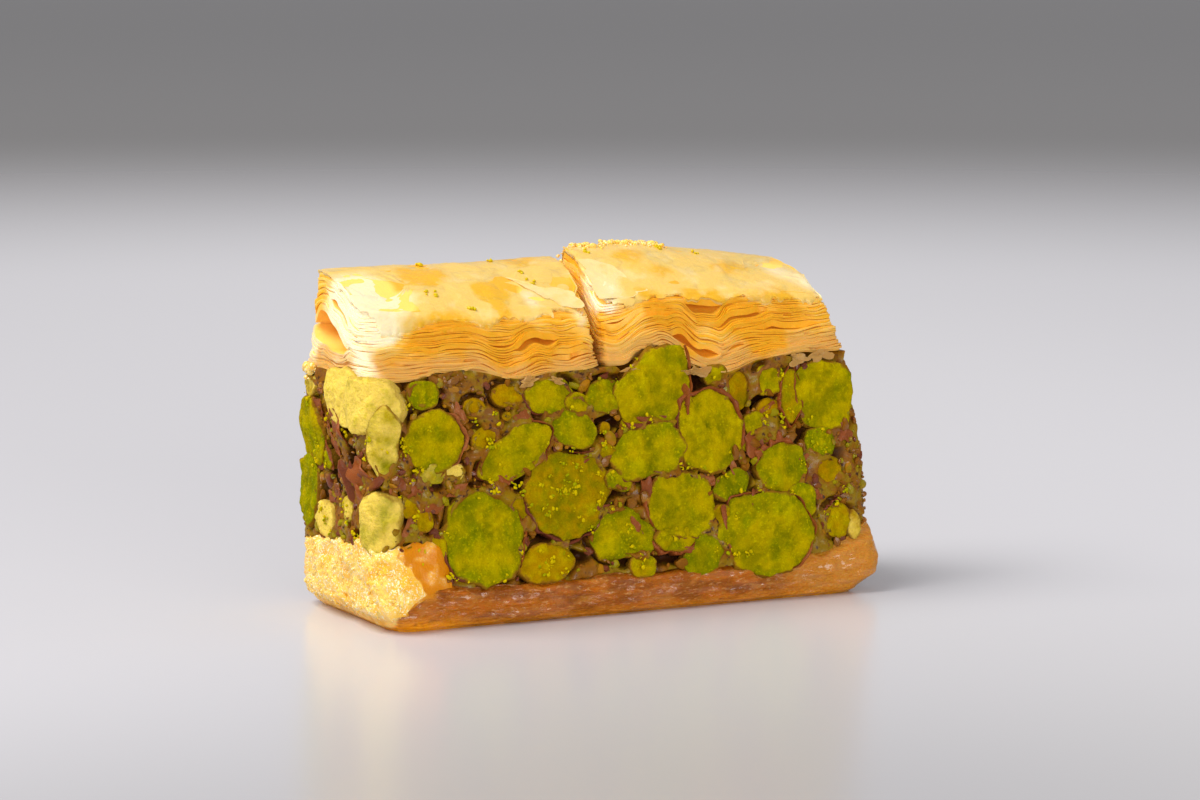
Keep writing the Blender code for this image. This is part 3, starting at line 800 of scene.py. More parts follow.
# Loose shreds: across, up, size along, size across (mm), turn (degrees), lean outwards, lightness.
FRONT_SHREDS = [
    (-19.8, 11.3, 1.5, 1.2, 30, 0.3, 0.5), (-18.3, 10.4, 1.9, 1.7, -20, 0.4, 0.6), (-18.9, 11.2, 1.2, 0.8, 70, 0.6, 0.8),
    (1.3, 10.3, 1.3, 2.0, 15, 0.3, 0.4), (17.6, 11.8, 2.3, 1.1, 10, 0.3, 0.8), (12.0, 13.6, 2.4, 1.9, 20, 0.2, 0.45),
    (11.8, 8.7, 1.5, 1.7, 0, 0.3, 0.4), (6.6, 10.7, 2.2, 1.0, -5, 0.5, 0.9), (7.3, 10.4, 1.2, 0.7, 30, 0.7, 0.8),
    (-15.4, 17.4, 0.9, 2.2, 15, 0.3, 0.9), (5.7, 17.3, 0.8, 2.6, 8, 0.6, 0.5), (13.6, 16.4, 1.8, 0.5, 25, 0.8, 0.8),
    (-11.6, 12.0, 1.6, 0.9, -35, 0.3, 0.6), (-3.2, 8.6, 1.9, 0.9, 40, 0.4, 0.3), (2.4, 16.1, 2.8, 0.9, -8, 0.5, 0.4),
    (0.3, 6.9, 1.0, 2.2, 10, 0.4, 0.7), (20.9, 13.8, 1.5, 1.7, 20, 0.4, 0.4), (-9.6, 17.0, 1.4, 1.5, 60, 0.3, 0.7),
    (8.8, 7.2, 1.0, 2.2, 12, 0.3, 0.5), (15.2, 13.4, 1.7, 0.7, 20, 0.5, 0.6), (-21.3, 12.4, 1.0, 1.6, 0, 0.3, 0.4),
    (-16.0, 11.4, 1.7, 0.8, 25, 0.4, 0.8), (-4.4, 12.9, 1.5, 0.6, 30, 0.4, 0.4), (4.9, 5.0, 1.5, 0.6, 15, 0.5, 0.7),
]
LEFT_SHREDS = [
    (-0.9, 16.2, 4.0, 2.4, -35, 0.5, 0.6), (0.6, 15.0, 3.0, 1.6, -50, 0.8, 0.7), (1.8, 13.6, 2.2, 1.3, -70, 0.5, 0.5),
    (-4.6, 12.9, 2.6, 3.6, 80, 0.4, 0.6), (-2.8, 12.2, 1.3, 3.4, 5, 0.5, 0.3), (3.6, 17.3, 2.6, 1.7, -30, 0.3, 0.5),
    (-4.9, 10.4, 1.8, 2.4, 0, 0.3, 0.7), (4.2, 12.4, 2.6, 1.0, 20, 0.4, 0.3), (0.8, 10.2, 3.0, 1.6, 0, 0.3, 0.4),
    (-3.0, 6.9, 2.0, 1.4, 10, 0.3, 0.6),
]


def edge_skin(parts, kernel_place, start, end, thickness, proud, light):
    """Adds a strip of skin along part of a front kernel's edge."""
    face, width, height, shape, seed, kernel_proud = placed[kernel_place]
    angles = np.radians(np.arange(start, end, 2.5))
    full = np.arange(360) / 360 * 2 * math.pi
    edge = np.interp(np.mod(angles, 2 * math.pi), full, outline(full, width, height, shape, seed), period=2 * math.pi)
    taper = smooth(np.minimum(np.arange(len(angles)), np.arange(len(angles))[::-1]) / 5)
    probe = np.column_stack([angles * 3, np.full(len(angles), seed), np.zeros(len(angles))])
    inner = edge * 0.985 + 0.03 * lumps(probe, 0.5, 61)
    outer = inner + thickness * (0.15 + 0.6 * taper) * np.clip(1 + 1.3 * lumps(probe, 0.5, 62), 0.12, 2)
    rise = 0.45 * kernel_proud - 0.05 + proud * taper + 0.12 * lumps(probe, 0.4, 63)
    section = [(inner, rise - 1.2), (inner, rise - 0.10), (inner * 0.6 + outer * 0.4, rise + 0.03),
               (inner * 0.2 + outer * 0.8, rise - 0.02), (outer, rise - 0.12), (outer, rise - 1.2)]
    rows = [np.column_stack([r * np.cos(angles), r * np.sin(angles), z]) for r, z in section]
    local = np.stack(rows, axis=1)
    faces = tube_faces(len(angles), len(section))
    last = (len(angles) - 1) * len(section)
    faces += [tuple(range(len(section))), tuple(last + i for i in range(len(section)))]
    parts.add(face.place(local.reshape(-1, 3) * MM), faces, light=light)


def shred(parts, face, long, wide, lean, seed, thickness=0.07, sink=0.12, torn=0.6, **paints):
    """Adds a thin, curled, ragged shred near the side: a closed leaf 11 x 9 points across."""
    u, v = np.meshgrid(np.linspace(-1, 1, 11), np.linspace(-1, 1, 9), indexing="ij")
    disc_u, disc_v = u * np.sqrt(1 - v * v / 2), v * np.sqrt(1 - u * u / 2)
    probe = np.column_stack([disc_u.ravel(), disc_v.ravel(), np.full(u.size, seed * 1.7)])
    size = 1 + torn * lumps(probe, 0.55, 64).reshape(u.shape) * np.maximum(abs(u), abs(v))
    x, y = disc_u * size * long / 2, disc_v * size * wide / 2
    bend = 0.22 * wide * lumps(probe, 1.1, 65).reshape(u.shape) + 0.16 * lumps(probe, 0.4, 66).reshape(u.shape)
    z = bend + lean * 0.35 * (y + wide / 2) - sink
    top = np.dstack([x, y, z]).reshape(-1, 3)
    low = np.dstack([x, y, z - thickness]).reshape(-1, 3)
    faces = []
    for i in range(10):
        for j in range(8):
            a, b = i * 9 + j, (i + 1) * 9 + j
            faces += [(a, b, b + 1, a + 1), (99 + a, 99 + a + 1, 99 + b + 1, 99 + b)]
    rim = [j for j in range(9)] + [i * 9 + 8 for i in range(1, 11)] + [90 + j for j in range(7, -1, -1)]
    rim += [i * 9 for i in range(9, 0, -1)]
    for a, b in zip(rim, rim[1:] + rim[:1]):
        faces.append((a, b, 99 + b, 99 + a))
    parts.add(face.place(np.concatenate([top, low]) * MM), faces, **paints)


skins = Parts()
for strip in EDGE_SKINS:
    edge_skin(skins, *strip)
for seed, (across, up, long, wide, turn, lean, light) in enumerate(FRONT_SHREDS):
    shred(skins, Face((across * MM, -1, up * MM), (0, 1, 0), turn), long, wide, lean, seed, light=light)
for seed, (across, up, long, wide, turn, lean, light) in enumerate(LEFT_SHREDS):
    shred(skins, Face((-1, across * MM, up * MM), (1, 0, 0), turn), long, wide, lean, seed + 50, light=light)
chance = np.random.default_rng(43)
for seed in range(150):
    row, index = chance.integers(2, 58), chance.integers(filling.count)
    point, out = side_rows[row, index], filling.away[index]
    if not on_kernel(point, 1.02):
        turn = chance.uniform(0, 180)
        face = Face((point[0] + out[0], point[1] + out[1], point[2]), (-out[0], -out[1], 0), turn)
        long, wide = chance.uniform(0.7, 1.8), chance.uniform(0.4, 1.1)
        shred(skins, face, long, wide, chance.uniform(-0.2, 0.8), seed + 100, sink=0.18, light=chance.random())
skins = skins.build("nut_skins", crease=60)

finish = Finish("nut_skin", Roughness=0.5, Subsurface_Weight=0.15, Subsurface_Scale=0.0006,
                Subsurface_Radius=(1.0, 0.4, 0.2), Coat_Weight=0.12, Coat_Roughness=0.2, Specular_IOR_Level=0.1)
light = finish.stored("light")
colour = finish.mix(finish.step(light + 0.5 * finish.noise(0.9 * MM, 3), 0.35, 0.85), SKIN_PURPLE, SKIN_BROWN)
colour = finish.mix(finish.step(light + 0.6 * finish.noise(0.6 * MM, 3), 0.95, 1.3), colour, SKIN_PINK)
finish.feed(Base_Color=colour, Normal=finish.bump(finish.noise(0.14 * MM, 4), 0.08 * MM, 0.8))
finish.on(skins, "pistachio_filling", "pistachio_filling")

# ---- Crumbs ----
# Bright crumbs that the knife broke off the kernels and left sticking to the sides, mostly in clusters.

CRUMB_YELLOW = (0.54, 0.40, 0.0, 1)
CRUMB_GREEN = (0.30, 0.29, 0.0, 1)
# Clusters on the front: across, up, radius (mm), how many. On the left end the first is the depth into the plate.
FRONT_CRUMBS = [
    (-6.2, 10.4, 3.4, 170), (-8.3, 4.7, 2.2, 80), (-20.4, 15.3, 0.8, 26), (-20.7, 18.6, 0.9, 24), (-13.8, 4.2, 2.2, 26),
    (-17.0, 4.3, 1.0, 14), (-13.4, 11.6, 1.4, 26), (0.5, 4.0, 1.2, 30), (0.6, 19.3, 1.4, 22), (1.8, 21.0, 1.2, 14),
    (9.8, 4.0, 1.6, 26), (12.6, 8.6, 1.6, 28), (18.6, 12.8, 1.4, 22), (15.0, 15.6, 1.4, 14), (13.2, 15.3, 0.9, 12),
    (-1.9, 14.6, 1.0, 14), (-2.6, 11.9, 1.0, 18), (18.3, 6.4, 1.0, 12), (-20.6, 10.6, 1.2, 18), (9.0, 19.5, 0.8, 8),
    (-13.0, 15.5, 0.6, 9), (-12.2, 15.0, 0.5, 6), (-5.2, 14.2, 0.5, 6), (-19.9, 12.9, 1.0, 14), (8.0, 12.0, 1.8, 18),
    (-19.0, 6.4, 1.2, 12), (21.0, 8.5, 1.0, 10), (0.4, 15.2, 1.2, 10), (5.2, 12.6, 1.3, 10), (10.5, 3.6, 1.4, 14),
]
LEFT_CRUMBS = [
    (-2.5, 17.6, 2.6, 40), (-6.5, 15.6, 1.4, 24), (3.6, 13.2, 1.6, 34), (-4.5, 8.2, 2.0, 26), (-1.5, 9.4, 1.6, 22),
    (5.4, 17.6, 1.6, 16), (-6.8, 5.6, 1.6, 20), (0.4, 19.6, 2.6, 30), (2.0, 6.8, 2.4, 20),
]


def cluster(parts, place, count, radius, chance, small=0.05, large=0.17):
    """Adds a cluster of crumbs round a middle; place gives a start and a way for casting on the filling."""
    spots, outs, sizes, kinds = [], [], [], []
    middle = np.zeros(2)
    for n in range(count):
        if n % 5 == 0:
            middle = chance.normal(size=2) * radius * 0.5
        start, way = place(*(middle + chance.normal(size=2) * 0.16))
        hit, normal, _, _ = filling.tree.ray_cast(Vector(start), Vector(way))
        if not hit:
            continue
        size = (small + (large - small) * chance.random() ** 2) * MM
        spots.append(np.array(hit) + np.array(normal) * (0.12 * MM + 0.6 * size))
        outs.append(np.array(normal))
        sizes.append(size)
        kinds.append(chance.random())
    grains(parts, spots, outs, sizes, chance, flat=0.8, rough=0.5, kind=kinds)


chance = np.random.default_rng(47)
crumbs = Parts()
for across, up, radius, count in FRONT_CRUMBS:
    cluster(crumbs, lambda a, b: (((across + a) * MM, -1, (up + b) * MM), (0, 1, 0)), count, radius, chance)
for across, up, radius, count in LEFT_CRUMBS:
    cluster(crumbs, lambda a, b: ((-1, (across + a) * MM, (up + b) * MM), (1, 0, 0)), count, radius, chance)
for _ in range(30):
    across, up = chance.uniform(-21, 20), chance.uniform(5, 19)
    cluster(crumbs, lambda a, b: (((across + a) * MM, 1, (up + b) * MM), (0, -1, 0)), 7, 1.2, chance)
    across, up = chance.uniform(-21, 20), chance.uniform(4, 19)
    cluster(crumbs, lambda a, b: (((across + a) * MM, -1, (up + b) * MM), (0, 1, 0)), 5, 1.4, chance)
for _ in range(14):
    across, up = chance.uniform(-6, 6), chance.uniform(7, 19)
    cluster(crumbs, lambda a, b: ((1, (across + a) * MM, (up + b) * MM), (-1, 0, 0)), 7, 1.2, chance)
crumbs = crumbs.build("nut_crumbs", merge=False, crease=60)

finish = Finish("nut_crumb", Roughness=0.6, Subsurface_Weight=0.3, Subsurface_Scale=0.0005,
                Subsurface_Radius=(0.9, 1.0, 0.12), Specular_IOR_Level=0.03)
colour = finish.mix(finish.step(finish.stored("kind"), 0.55, 0.8), CRUMB_YELLOW, CRUMB_GREEN)
finish.feed(Base_Color=colour, Normal=finish.bump(finish.noise(0.1 * MM, 3), 0.04 * MM, 0.6))
finish.on(crumbs, "pistachio_filling", "pistachio_filling")

# ---- Top crust leaves ----
# About twenty sheets of thin pastry in each half, baked apart at their edges and soaked lower down. Each is a
# closed leaf that follows the one below: the gaps between them pinch and open, and here and there stay open as a
# lens-shaped pocket. Their rims are ragged, pale and dry, and the pastry within is golden.

LEAVES = 30
THICKEST_LEAF = 0.55
# Pockets: across, into the plate, share of the height, half width, half depth (mm), and how much they open.
LEFT_POCKETS = [
    (-7.4, -5.0, 0.50, 1.5, 2.5, 11.0), (-4.6, -5.0, 0.30, 1.5, 2.5, 4.0), (-15.5, -4.5, 0.42, 2.5, 2.0, 2.0),
    (-12.6, -4.6, 0.66, 2.2, 2.0, 3.0), (-23.0, 2.4, 0.44, 3.0, 2.8, 30.0), (-23.0, 0.6, 0.70, 2.5, 1.8, 12.0),
    (-9.6, -5.0, 0.24, 1.5, 2.0, 3.0), (-2.6, -4.6, 0.58, 1.2, 2.0, 5.0), (-17.5, 6.5, 0.5, 3.0, 2.0, 5.0),
    (-8.0, 6.5, 0.35, 2.5, 2.0, 5.0),
]
RIGHT_POCKETS = [
    (7.4, -5.4, 0.32, 1.7, 2.5, 14.0), (9.0, -4.6, 0.88, 1.5, 2.5, 10.0), (12.4, -5.0, 0.70, 2.0, 2.0, 7.0),
    (3.6, -5.0, 0.62, 2.0, 2.0, 3.0), (16.5, -5.0, 0.50, 2.2, 2.0, 6.0), (0.6, -5.0, 0.70, 1.5, 2.0, 4.0),
    (21.5, 0.0, 0.5, 2.0, 3.0, 6.0), (12.0, 6.5, 0.4, 3.0, 2.0, 5.0), (4.0, 6.5, 0.6, 2.5, 2.0, 5.0),
]
# Folds: across, half width (mm), rise (mm), share of the height where they are strongest, and its spread.
LEFT_FOLDS = [
    (-10.4, 1.4, -0.75, 0.30, 0.3), (-7.6, 1.1, 0.65, 0.40, 0.3), (-4.8, 1.0, -0.35, 0.3, 0.3),
    (-2.8, 0.9, 0.35, 0.5, 0.3), (-14.5, 2.5, 0.30, 0.6, 0.3),
]
RIGHT_FOLDS = [
    (4.0, 2.2, 0.65, 0.50, 0.35), (8.0, 1.5, -0.60, 0.50, 0.35), (-0.2, 1.2, -0.45, 0.5, 0.4),
    (12.0, 2.0, 0.35, 0.5, 0.3), (17.0, 2.0, -0.30, 0.5, 0.4),
]
# Stains in the pastry, orange where syrup has soaked in (amount above 0) and pale where it is dry (below 0):
# across, into the plate, up, size (mm) and amount.
LEFT_STAINS = [
    (-14.9, 1.9, 28.4, 2.2, 1.0), (-9.6, -0.6, 27.2, 1.8, 1.1), (-10.4, -2.8, 25.8, 1.6, 1.0),
    (-18.3, -4.7, 23.8, 1.6, 1.2), (-15.4, -4.4, 24.4, 1.8, 0.8), (-10.6, -5.4, 22.3, 1.4, 1.2),
    (-7.5, -5.1, 23.0, 1.8, 1.1), (-21.3, -5.2, 22.7, 1.3, 0.7), (-23.0, 2.2, 24.6, 2.0, -0.5),
    (-23.4, 4.6, 26.2, 1.2, 0.3), (-13.3, -5.2, 23.0, 2.4, 0.6), (-4.0, -5.0, 23.0, 1.5, 0.6),
    (-5.5, 4.5, 28.8, 2.5, 0.6), (-23.0, -1.0, 27.0, 3.4, -1.3), (-21.8, -4.0, 25.0, 2.0, -1.1),
    (-18.7, -2.2, 26.7, 1.7, -0.9), (-20.5, 1.0, 28.2, 2.2, -0.7), (-11.7, -3.2, 25.6, 0.9, -0.9),
    (-6.7, -2.3, 26.2, 1.4, -0.7), (-2.5, -4.0, 25.0, 1.3, -0.8), (-23.0, -5.0, 21.5, 2.0, -0.8),
    (-23.4, 5.5, 22.0, 2.2, -0.9), (-16.5, -1.0, 27.4, 1.5, -0.35),
]
RIGHT_STAINS = [
    (4.8, 1.5, 29.0, 1.8, 0.8), (7.0, -0.6, 27.7, 1.6, 0.7), (14.2, 0.1, 27.6, 2.0, 0.6), (4.0, -4.1, 25.3, 2.4, 0.9),
    (9.1, -4.0, 25.4, 1.6, 1.3), (11.6, -4.6, 24.0, 2.2, 1.2), (14.5, -5.3, 22.6, 1.8, 1.2), (17.6, -4.2, 24.8, 2.2, 0.8),
    (7.0, -5.5, 22.0, 1.3, 1.1), (-0.9, -4.6, 24.1, 1.6, 1.0), (6.8, -4.6, 24.1, 1.6, 0.6), (19.5, -5.0, 22.5, 1.6, 0.4),
    (0.7, -2.0, 26.8, 2.4, -1.0), (-0.6, -3.6, 25.4, 1.2, -1.2), (8.9, -1.4, 27.1, 1.1, -0.7), (11.2, -2.9, 26.0, 1.3, -0.8),
    (17.8, 0.2, 27.1, 1.6, -0.6), (20.6, -2.6, 25.8, 2.2, -0.9), (7.5, 1.2, 28.7, 1.0, -0.4),
]
RING_INSETS = np.array([0, 0.10, 0.3, 0.7, 1.4, 2.8])


def soak(points, stains):
    """How soaked the pastry is at points: from -1, dry and pale, to 1, orange with syrup."""
    wander = [lumps(points, 1.6 * MM, seed) + 0.4 * lumps(points, 0.6 * MM, seed) for seed in (71, 72, 73)]
    spots = points / MM + 0.7 * np.column_stack(wander)
    total = 0.3 * lumps(points, 2.4 * MM, 74)
    for across, deep, up, size, amount in stains:
        total += amount * np.exp(-((spots - (across, deep, up)) ** 2).sum(axis=1) / size ** 2)
    return np.clip(total, -1, 1)


class Surface:
    """The underside or the top of a block as a smooth lattice of heights."""

    def __init__(self, wall, up=False):
        front, back = (-6.0 * MM, 6.8 * MM) if up else (-3.5 * MM, 5.9 * MM)
        self.xs = np.linspace(wall.low.x + 1.6 * MM, wall.high.x - 1.6 * MM, 60)
        self.ys = np.linspace(front, back, 34)
        spots = [(x, y) for x in self.xs for y in self.ys]
        table = wall.height(spots, up).reshape(60, 34)
        for _ in range(5):
            table = np.pad(table, 1, mode="edge")
            table = (table[:-2, 1:-1] + table[2:, 1:-1] + table[1:-1, :-2] + table[1:-1, 2:] + 4 * table[1:-1, 1:-1]) / 8
        self.table = table

    def at(self, xy):
        """The height over each point."""
        i = np.clip(np.interp(xy[..., 0], self.xs, np.arange(60)), 0, 58.999)
        j = np.clip(np.interp(xy[..., 1], self.ys, np.arange(34)), 0, 32.999)
        a, b = i.astype(int), j.astype(int)
        i, j, t = i - a, j - b, self.table
        near = t[a, b] * (1 - j) + t[a, b + 1] * j
        return near * (1 - i) + (t[a + 1, b] * (1 - j) + t[a + 1, b + 1] * j) * i


class Block:
    """One half of the top crust: heights of its underside and top under a ring, and the leaves' shares between."""

    def __init__(self, node, pockets, folds, stains, seed):
        self.node, self.seed, self.folds, self.stains = node, seed, folds, stains
        self.wall = Wall(node, 420, 0.9 * MM, 3)
        middle, reach = self.wall.loops([0.5])
        middle, reach = middle[0], reach[0]
        self.rings = len(RING_INSETS) + 1
        self.under, self.over = Surface(self.wall, up=True), Surface(self.wall)
        inward = np.minimum(RING_INSETS[:, None] * MM / reach[None, :], 1)
        self.inward = np.vstack([inward, np.ones(len(reach))])
        flat = middle[None, :, :2] * (1 - self.inward[..., None]) + self.wall.spine[None] * self.inward[..., None]
        flat = flat.reshape(-1, 2)
        # The gaps between the leaves, as shares of the height.
        points = np.column_stack([flat, np.zeros(len(flat))])
        gaps = []
        places = (np.arange(LEAVES) + 0.5) / LEAVES
        for k, place in enumerate(places):
            open_up = 0.75 * lumps(points, (3.2 * MM, 3.6 * MM, 1), seed + k) + 0.45 * lumps(points, 1.3 * MM, seed + 40 + k)
            gap = 0.45 + np.exp(0.9 * open_up)
            for across, deep, share, wide, long, amount in pockets:
                near = np.hypot((flat[:, 0] / MM - across) / wide, (flat[:, 1] / MM - deep) / long)
                gap += amount * (abs(place - share) <= 0.5 / LEAVES) * smooth(1.6 - near)
            gaps.append(gap)
        stack = np.cumsum(gaps, axis=0)
        self.shares = (stack / stack[-1]).reshape(LEAVES, *self.inward.shape)
        self.gaps = (np.array(gaps) / stack[-1]).reshape(LEAVES, *self.inward.shape)

    def lift(self, xy, share):
        """How far the folds move a leaf, in metres."""
        total = np.zeros(xy.shape[:-1])
        for across, wide, rise, centre, spread in self.folds:
            fade = smooth((3 * MM - xy[..., 1]) / (6 * MM))
            along = np.exp(-(((xy[..., 0] / MM - across) / wide) ** 2))
            total += rise * MM * along * fade * np.exp(-(((share - centre) / spread) ** 2))
        return total * smooth(share / 0.15) * smooth((1 - share) / 0.2)

    def leaf(self, parts, k, inset):
        """Adds leaf k: inset is how far its rim stands back from the wall, in mm, for each column."""
        share = self.shares[k] if k >= 0 else np.zeros_like(self.inward)
        count = self.wall.count
        places = np.linspace(0.03, 0.97, Wall.LEVELS)
        rim_share = share[0]
        spot = np.clip((rim_share - 0.03) / 0.94 * (Wall.LEVELS - 1), 0, Wall.LEVELS - 1.001)
        base = spot.astype(int)
        columns = np.arange(count)
        reach = self.wall.table[base, columns] * (1 - spot + base) + self.wall.table[base + 1, columns] * (spot - base)
        reach = np.maximum(reach - inset * MM, 1 * MM)
        inner = np.minimum(RING_INSETS[:, None] * MM / reach[None], 0.98)
        inner = np.vstack([inner, np.ones(count)])
        rim = self.wall.spine + self.wall.away * reach[:, None]
        xy = rim[None] * (1 - inner[..., None]) + self.wall.spine[None] * inner[..., None]
        low, high = self.under.at(xy), self.over.at(xy)
        z = low * (1 - share) + high * share + self.lift(xy, share)
        room = self.gaps[k] * (high - low) if k >= 0 else np.full_like(z, 0.2 * MM)
        fused = smooth(inner * reach[None] / (0.3 * MM))
        thick = np.minimum(THICKEST_LEAF * MM, (0.96 + 0.07 * fused) * room)
        curl = 0.25 * room * lumps(np.column_stack([rim, z[0]]), 1.5 * MM, self.seed + 90 + k)[None]
        curl = curl * np.exp(-inner * reach[None] / (0.6 * MM))
        under = np.dstack([xy, z + curl - thick])
        over = np.dstack([xy, z + curl])
        points = np.concatenate([under[::-1], over]).reshape(-1, 3)
        depth = np.concatenate([(inner * reach)[::-1], inner * reach]).ravel() / MM
        parts.add(points, tube_faces(2 * self.rings, count), edge=depth, rise=np.concatenate([share[::-1], share]).ravel(),
                  tone=0.5 + 0.5 * math.sin(k * 2.4 + self.seed), soak=soak(points, self.stains))


def ragged(block, k):
    """How far a leaf's rim stands back from the wall, in mm, round the block."""
    rim = np.column_stack([block.wall.ring, np.full(block.wall.count, k * 3 * MM)])
    chance = math.sin(k * 12.9898 + block.seed) * 43758.5453
    back = 0.20 * (chance - math.floor(chance)) ** 2
    rough = 0.08 * lumps(rim, 1.6 * MM, block.seed + 7) + 0.05 * lumps(rim, 0.5 * MM, block.seed + 8)
    bites = np.clip(lumps(rim, 1.5 * MM, block.seed + 9) - 0.5, 0, 1) * 1.2
    return np.maximum(back + rough + bites, -0.02)


# The emission is painted glow, inside the gaps between leaves.
leaf_finish = Finish("pastry_leaf", Roughness=0.38, Subsurface_Weight=0.3, Subsurface_Scale=0.0002,
                     Subsurface_Radius=(1.0, 0.5, 0.1), Specular_IOR_Level=0.12, Emission_Strength=0.10)
edge, rise, tone, soaked = [leaf_finish.stored(name) for name in ("edge", "rise", "tone", "soak")]
# Deep orange painted as glow in the gaps between leaves.
GAP_GLOW_ORANGE = (0.78, 0.36, 0.025, 1)
LEAF_ORANGE = (0.82, 0.38, 0.014, 1)
LEAF_GOLD = (0.92, 0.46, 0.02, 1)
LEAF_PALE = (0.97, 0.59, 0.12, 1)
LEAF_TAN = (0.70, 0.37, 0.09, 1)
LEAF_CREAM = (1.0, 0.88, 0.58, 1)
NO_GLOW = (0, 0, 0, 1)
gold = leaf_finish.mix(leaf_finish.step(leaf_finish.noise(2.2 * MM, 4) + 0.35 * tone, 0.5, 0.85), LEAF_GOLD, LEAF_PALE)
low_down = leaf_finish.step(rise + 0.35 * leaf_finish.noise(3 * MM, 3), 0.72, 0.36)
colour = leaf_finish.mix(low_down * 0.85, gold, LEAF_TAN)
colour = leaf_finish.mix(leaf_finish.step(soaked, 0.15, 0.75), colour, LEAF_ORANGE)
colour = leaf_finish.mix(leaf_finish.step(soaked + 0.3 * leaf_finish.noise(0.9 * MM, 3), 0.08, -0.75), colour, LEAF_CREAM)
# Painted glow: leaf surfaces deeper than about 0.2 mm inside the gaps turn deep orange, or pale where the pastry is
# dry, and emit that colour.
inside = leaf_finish.step(edge + 0.1 * leaf_finish.noise(0.6 * MM, 2), 0.12, 0.30)
deep = leaf_finish.mix(leaf_finish.step(soaked, 0.1, -0.35), GAP_GLOW_ORANGE, LEAF_PALE)
colour = leaf_finish.mix(inside, colour, deep)
leaf_finish.feed(
    Base_Color=colour,
    Emission_Color=leaf_finish.mix(inside, NO_GLOW, deep),
    Normal=leaf_finish.bump(leaf_finish.noise(0.3 * MM, 3), 0.05 * MM, 0.5),
)

blocks = {}
for side, seed, *layout in (
    ("left", 600, LEFT_POCKETS, LEFT_FOLDS, LEFT_STAINS),
    ("right", 700, RIGHT_POCKETS, RIGHT_FOLDS, RIGHT_STAINS),
):
    block = Block("top_crust_" + side, *layout, seed)
    blocks[side] = block
    for name, members in (("lower", range(-1, LEAVES // 2)), ("upper", range(LEAVES // 2, LEAVES))):
        parts = Parts()
        for k in members:
            block.leaf(parts, k, ragged(block, k) + (0.0 if k >= 0 else 0.25))
        leaves = parts.build(f"{side}_{name}_leaves", crease=50)
        leaf_finish.on(leaves, "flaky_crust", "top_crust_" + side)

# ---- Top sheets ----
# The last buttered sheets of each half, smooth and glossy, with soft wrinkles. The uppermost wraps a little over
# the front edge. Torn flakes of the sheet above it have stayed here and there; they are paler and stand off at
# their ragged edges.

SHEET_STRAW = (0.80, 0.51, 0.115, 1)
SHEET_ORANGE = (0.77, 0.40, 0.015, 1)
SHEET_CREAM = (0.86, 0.63, 0.27, 1)
SHEET_WHITE = (0.92, 0.75, 0.44, 1)
# How far the sheet hangs down the front, as a share of the wall: across (mm), share.
LEFT_HANG = ([-23, -20, -17, -14.5, -12.5, -11, -9.5, -8, -6.5, -5, -3, -1], [0.42, 0.30, 0.20, 0.16, 0.30, 0.16, 0.12, 0.22, 0.12, 0.06, 0.04, 0.10])
RIGHT_HANG = ([-1, 0.5, 2, 4, 6, 8, 9.5, 11, 13, 15, 18, 21], [0.14, 0.12, 0.06, 0.02, 0.05, 0.12, 0.05, 0.16, 0.05, 0.18, 0.12, 0.2])
SHEET_INSETS = np.array([0.25, 0.5, 0.8, 1.2, 1.7, 2.3, 3.0, 3.8, 4.7, 5.6])
# Flakes: their outlines on top of the block (across and into the plate, mm), and how pale they are.
LEFT_FLAKES = [
    ([(-7.5, 1.0), (-5.3, -0.6), (-2.6, -1.4), (-1.9, -3.0), (-2.2, -3.7), (-4.0, -3.5), (-4.8, -2.7), (-6.3, -1.0)], 0.9),
]
RIGHT_FLAKES = [
    ([(-0.4, 1.6), (1.4, 1.2), (2.5, 0.1), (3.0, -1.6), (4.5, -3.0), (2.6, -3.4), (1.0, -3.5), (-0.6, -3.7), (-0.6, -1.5)], 0.8),
]


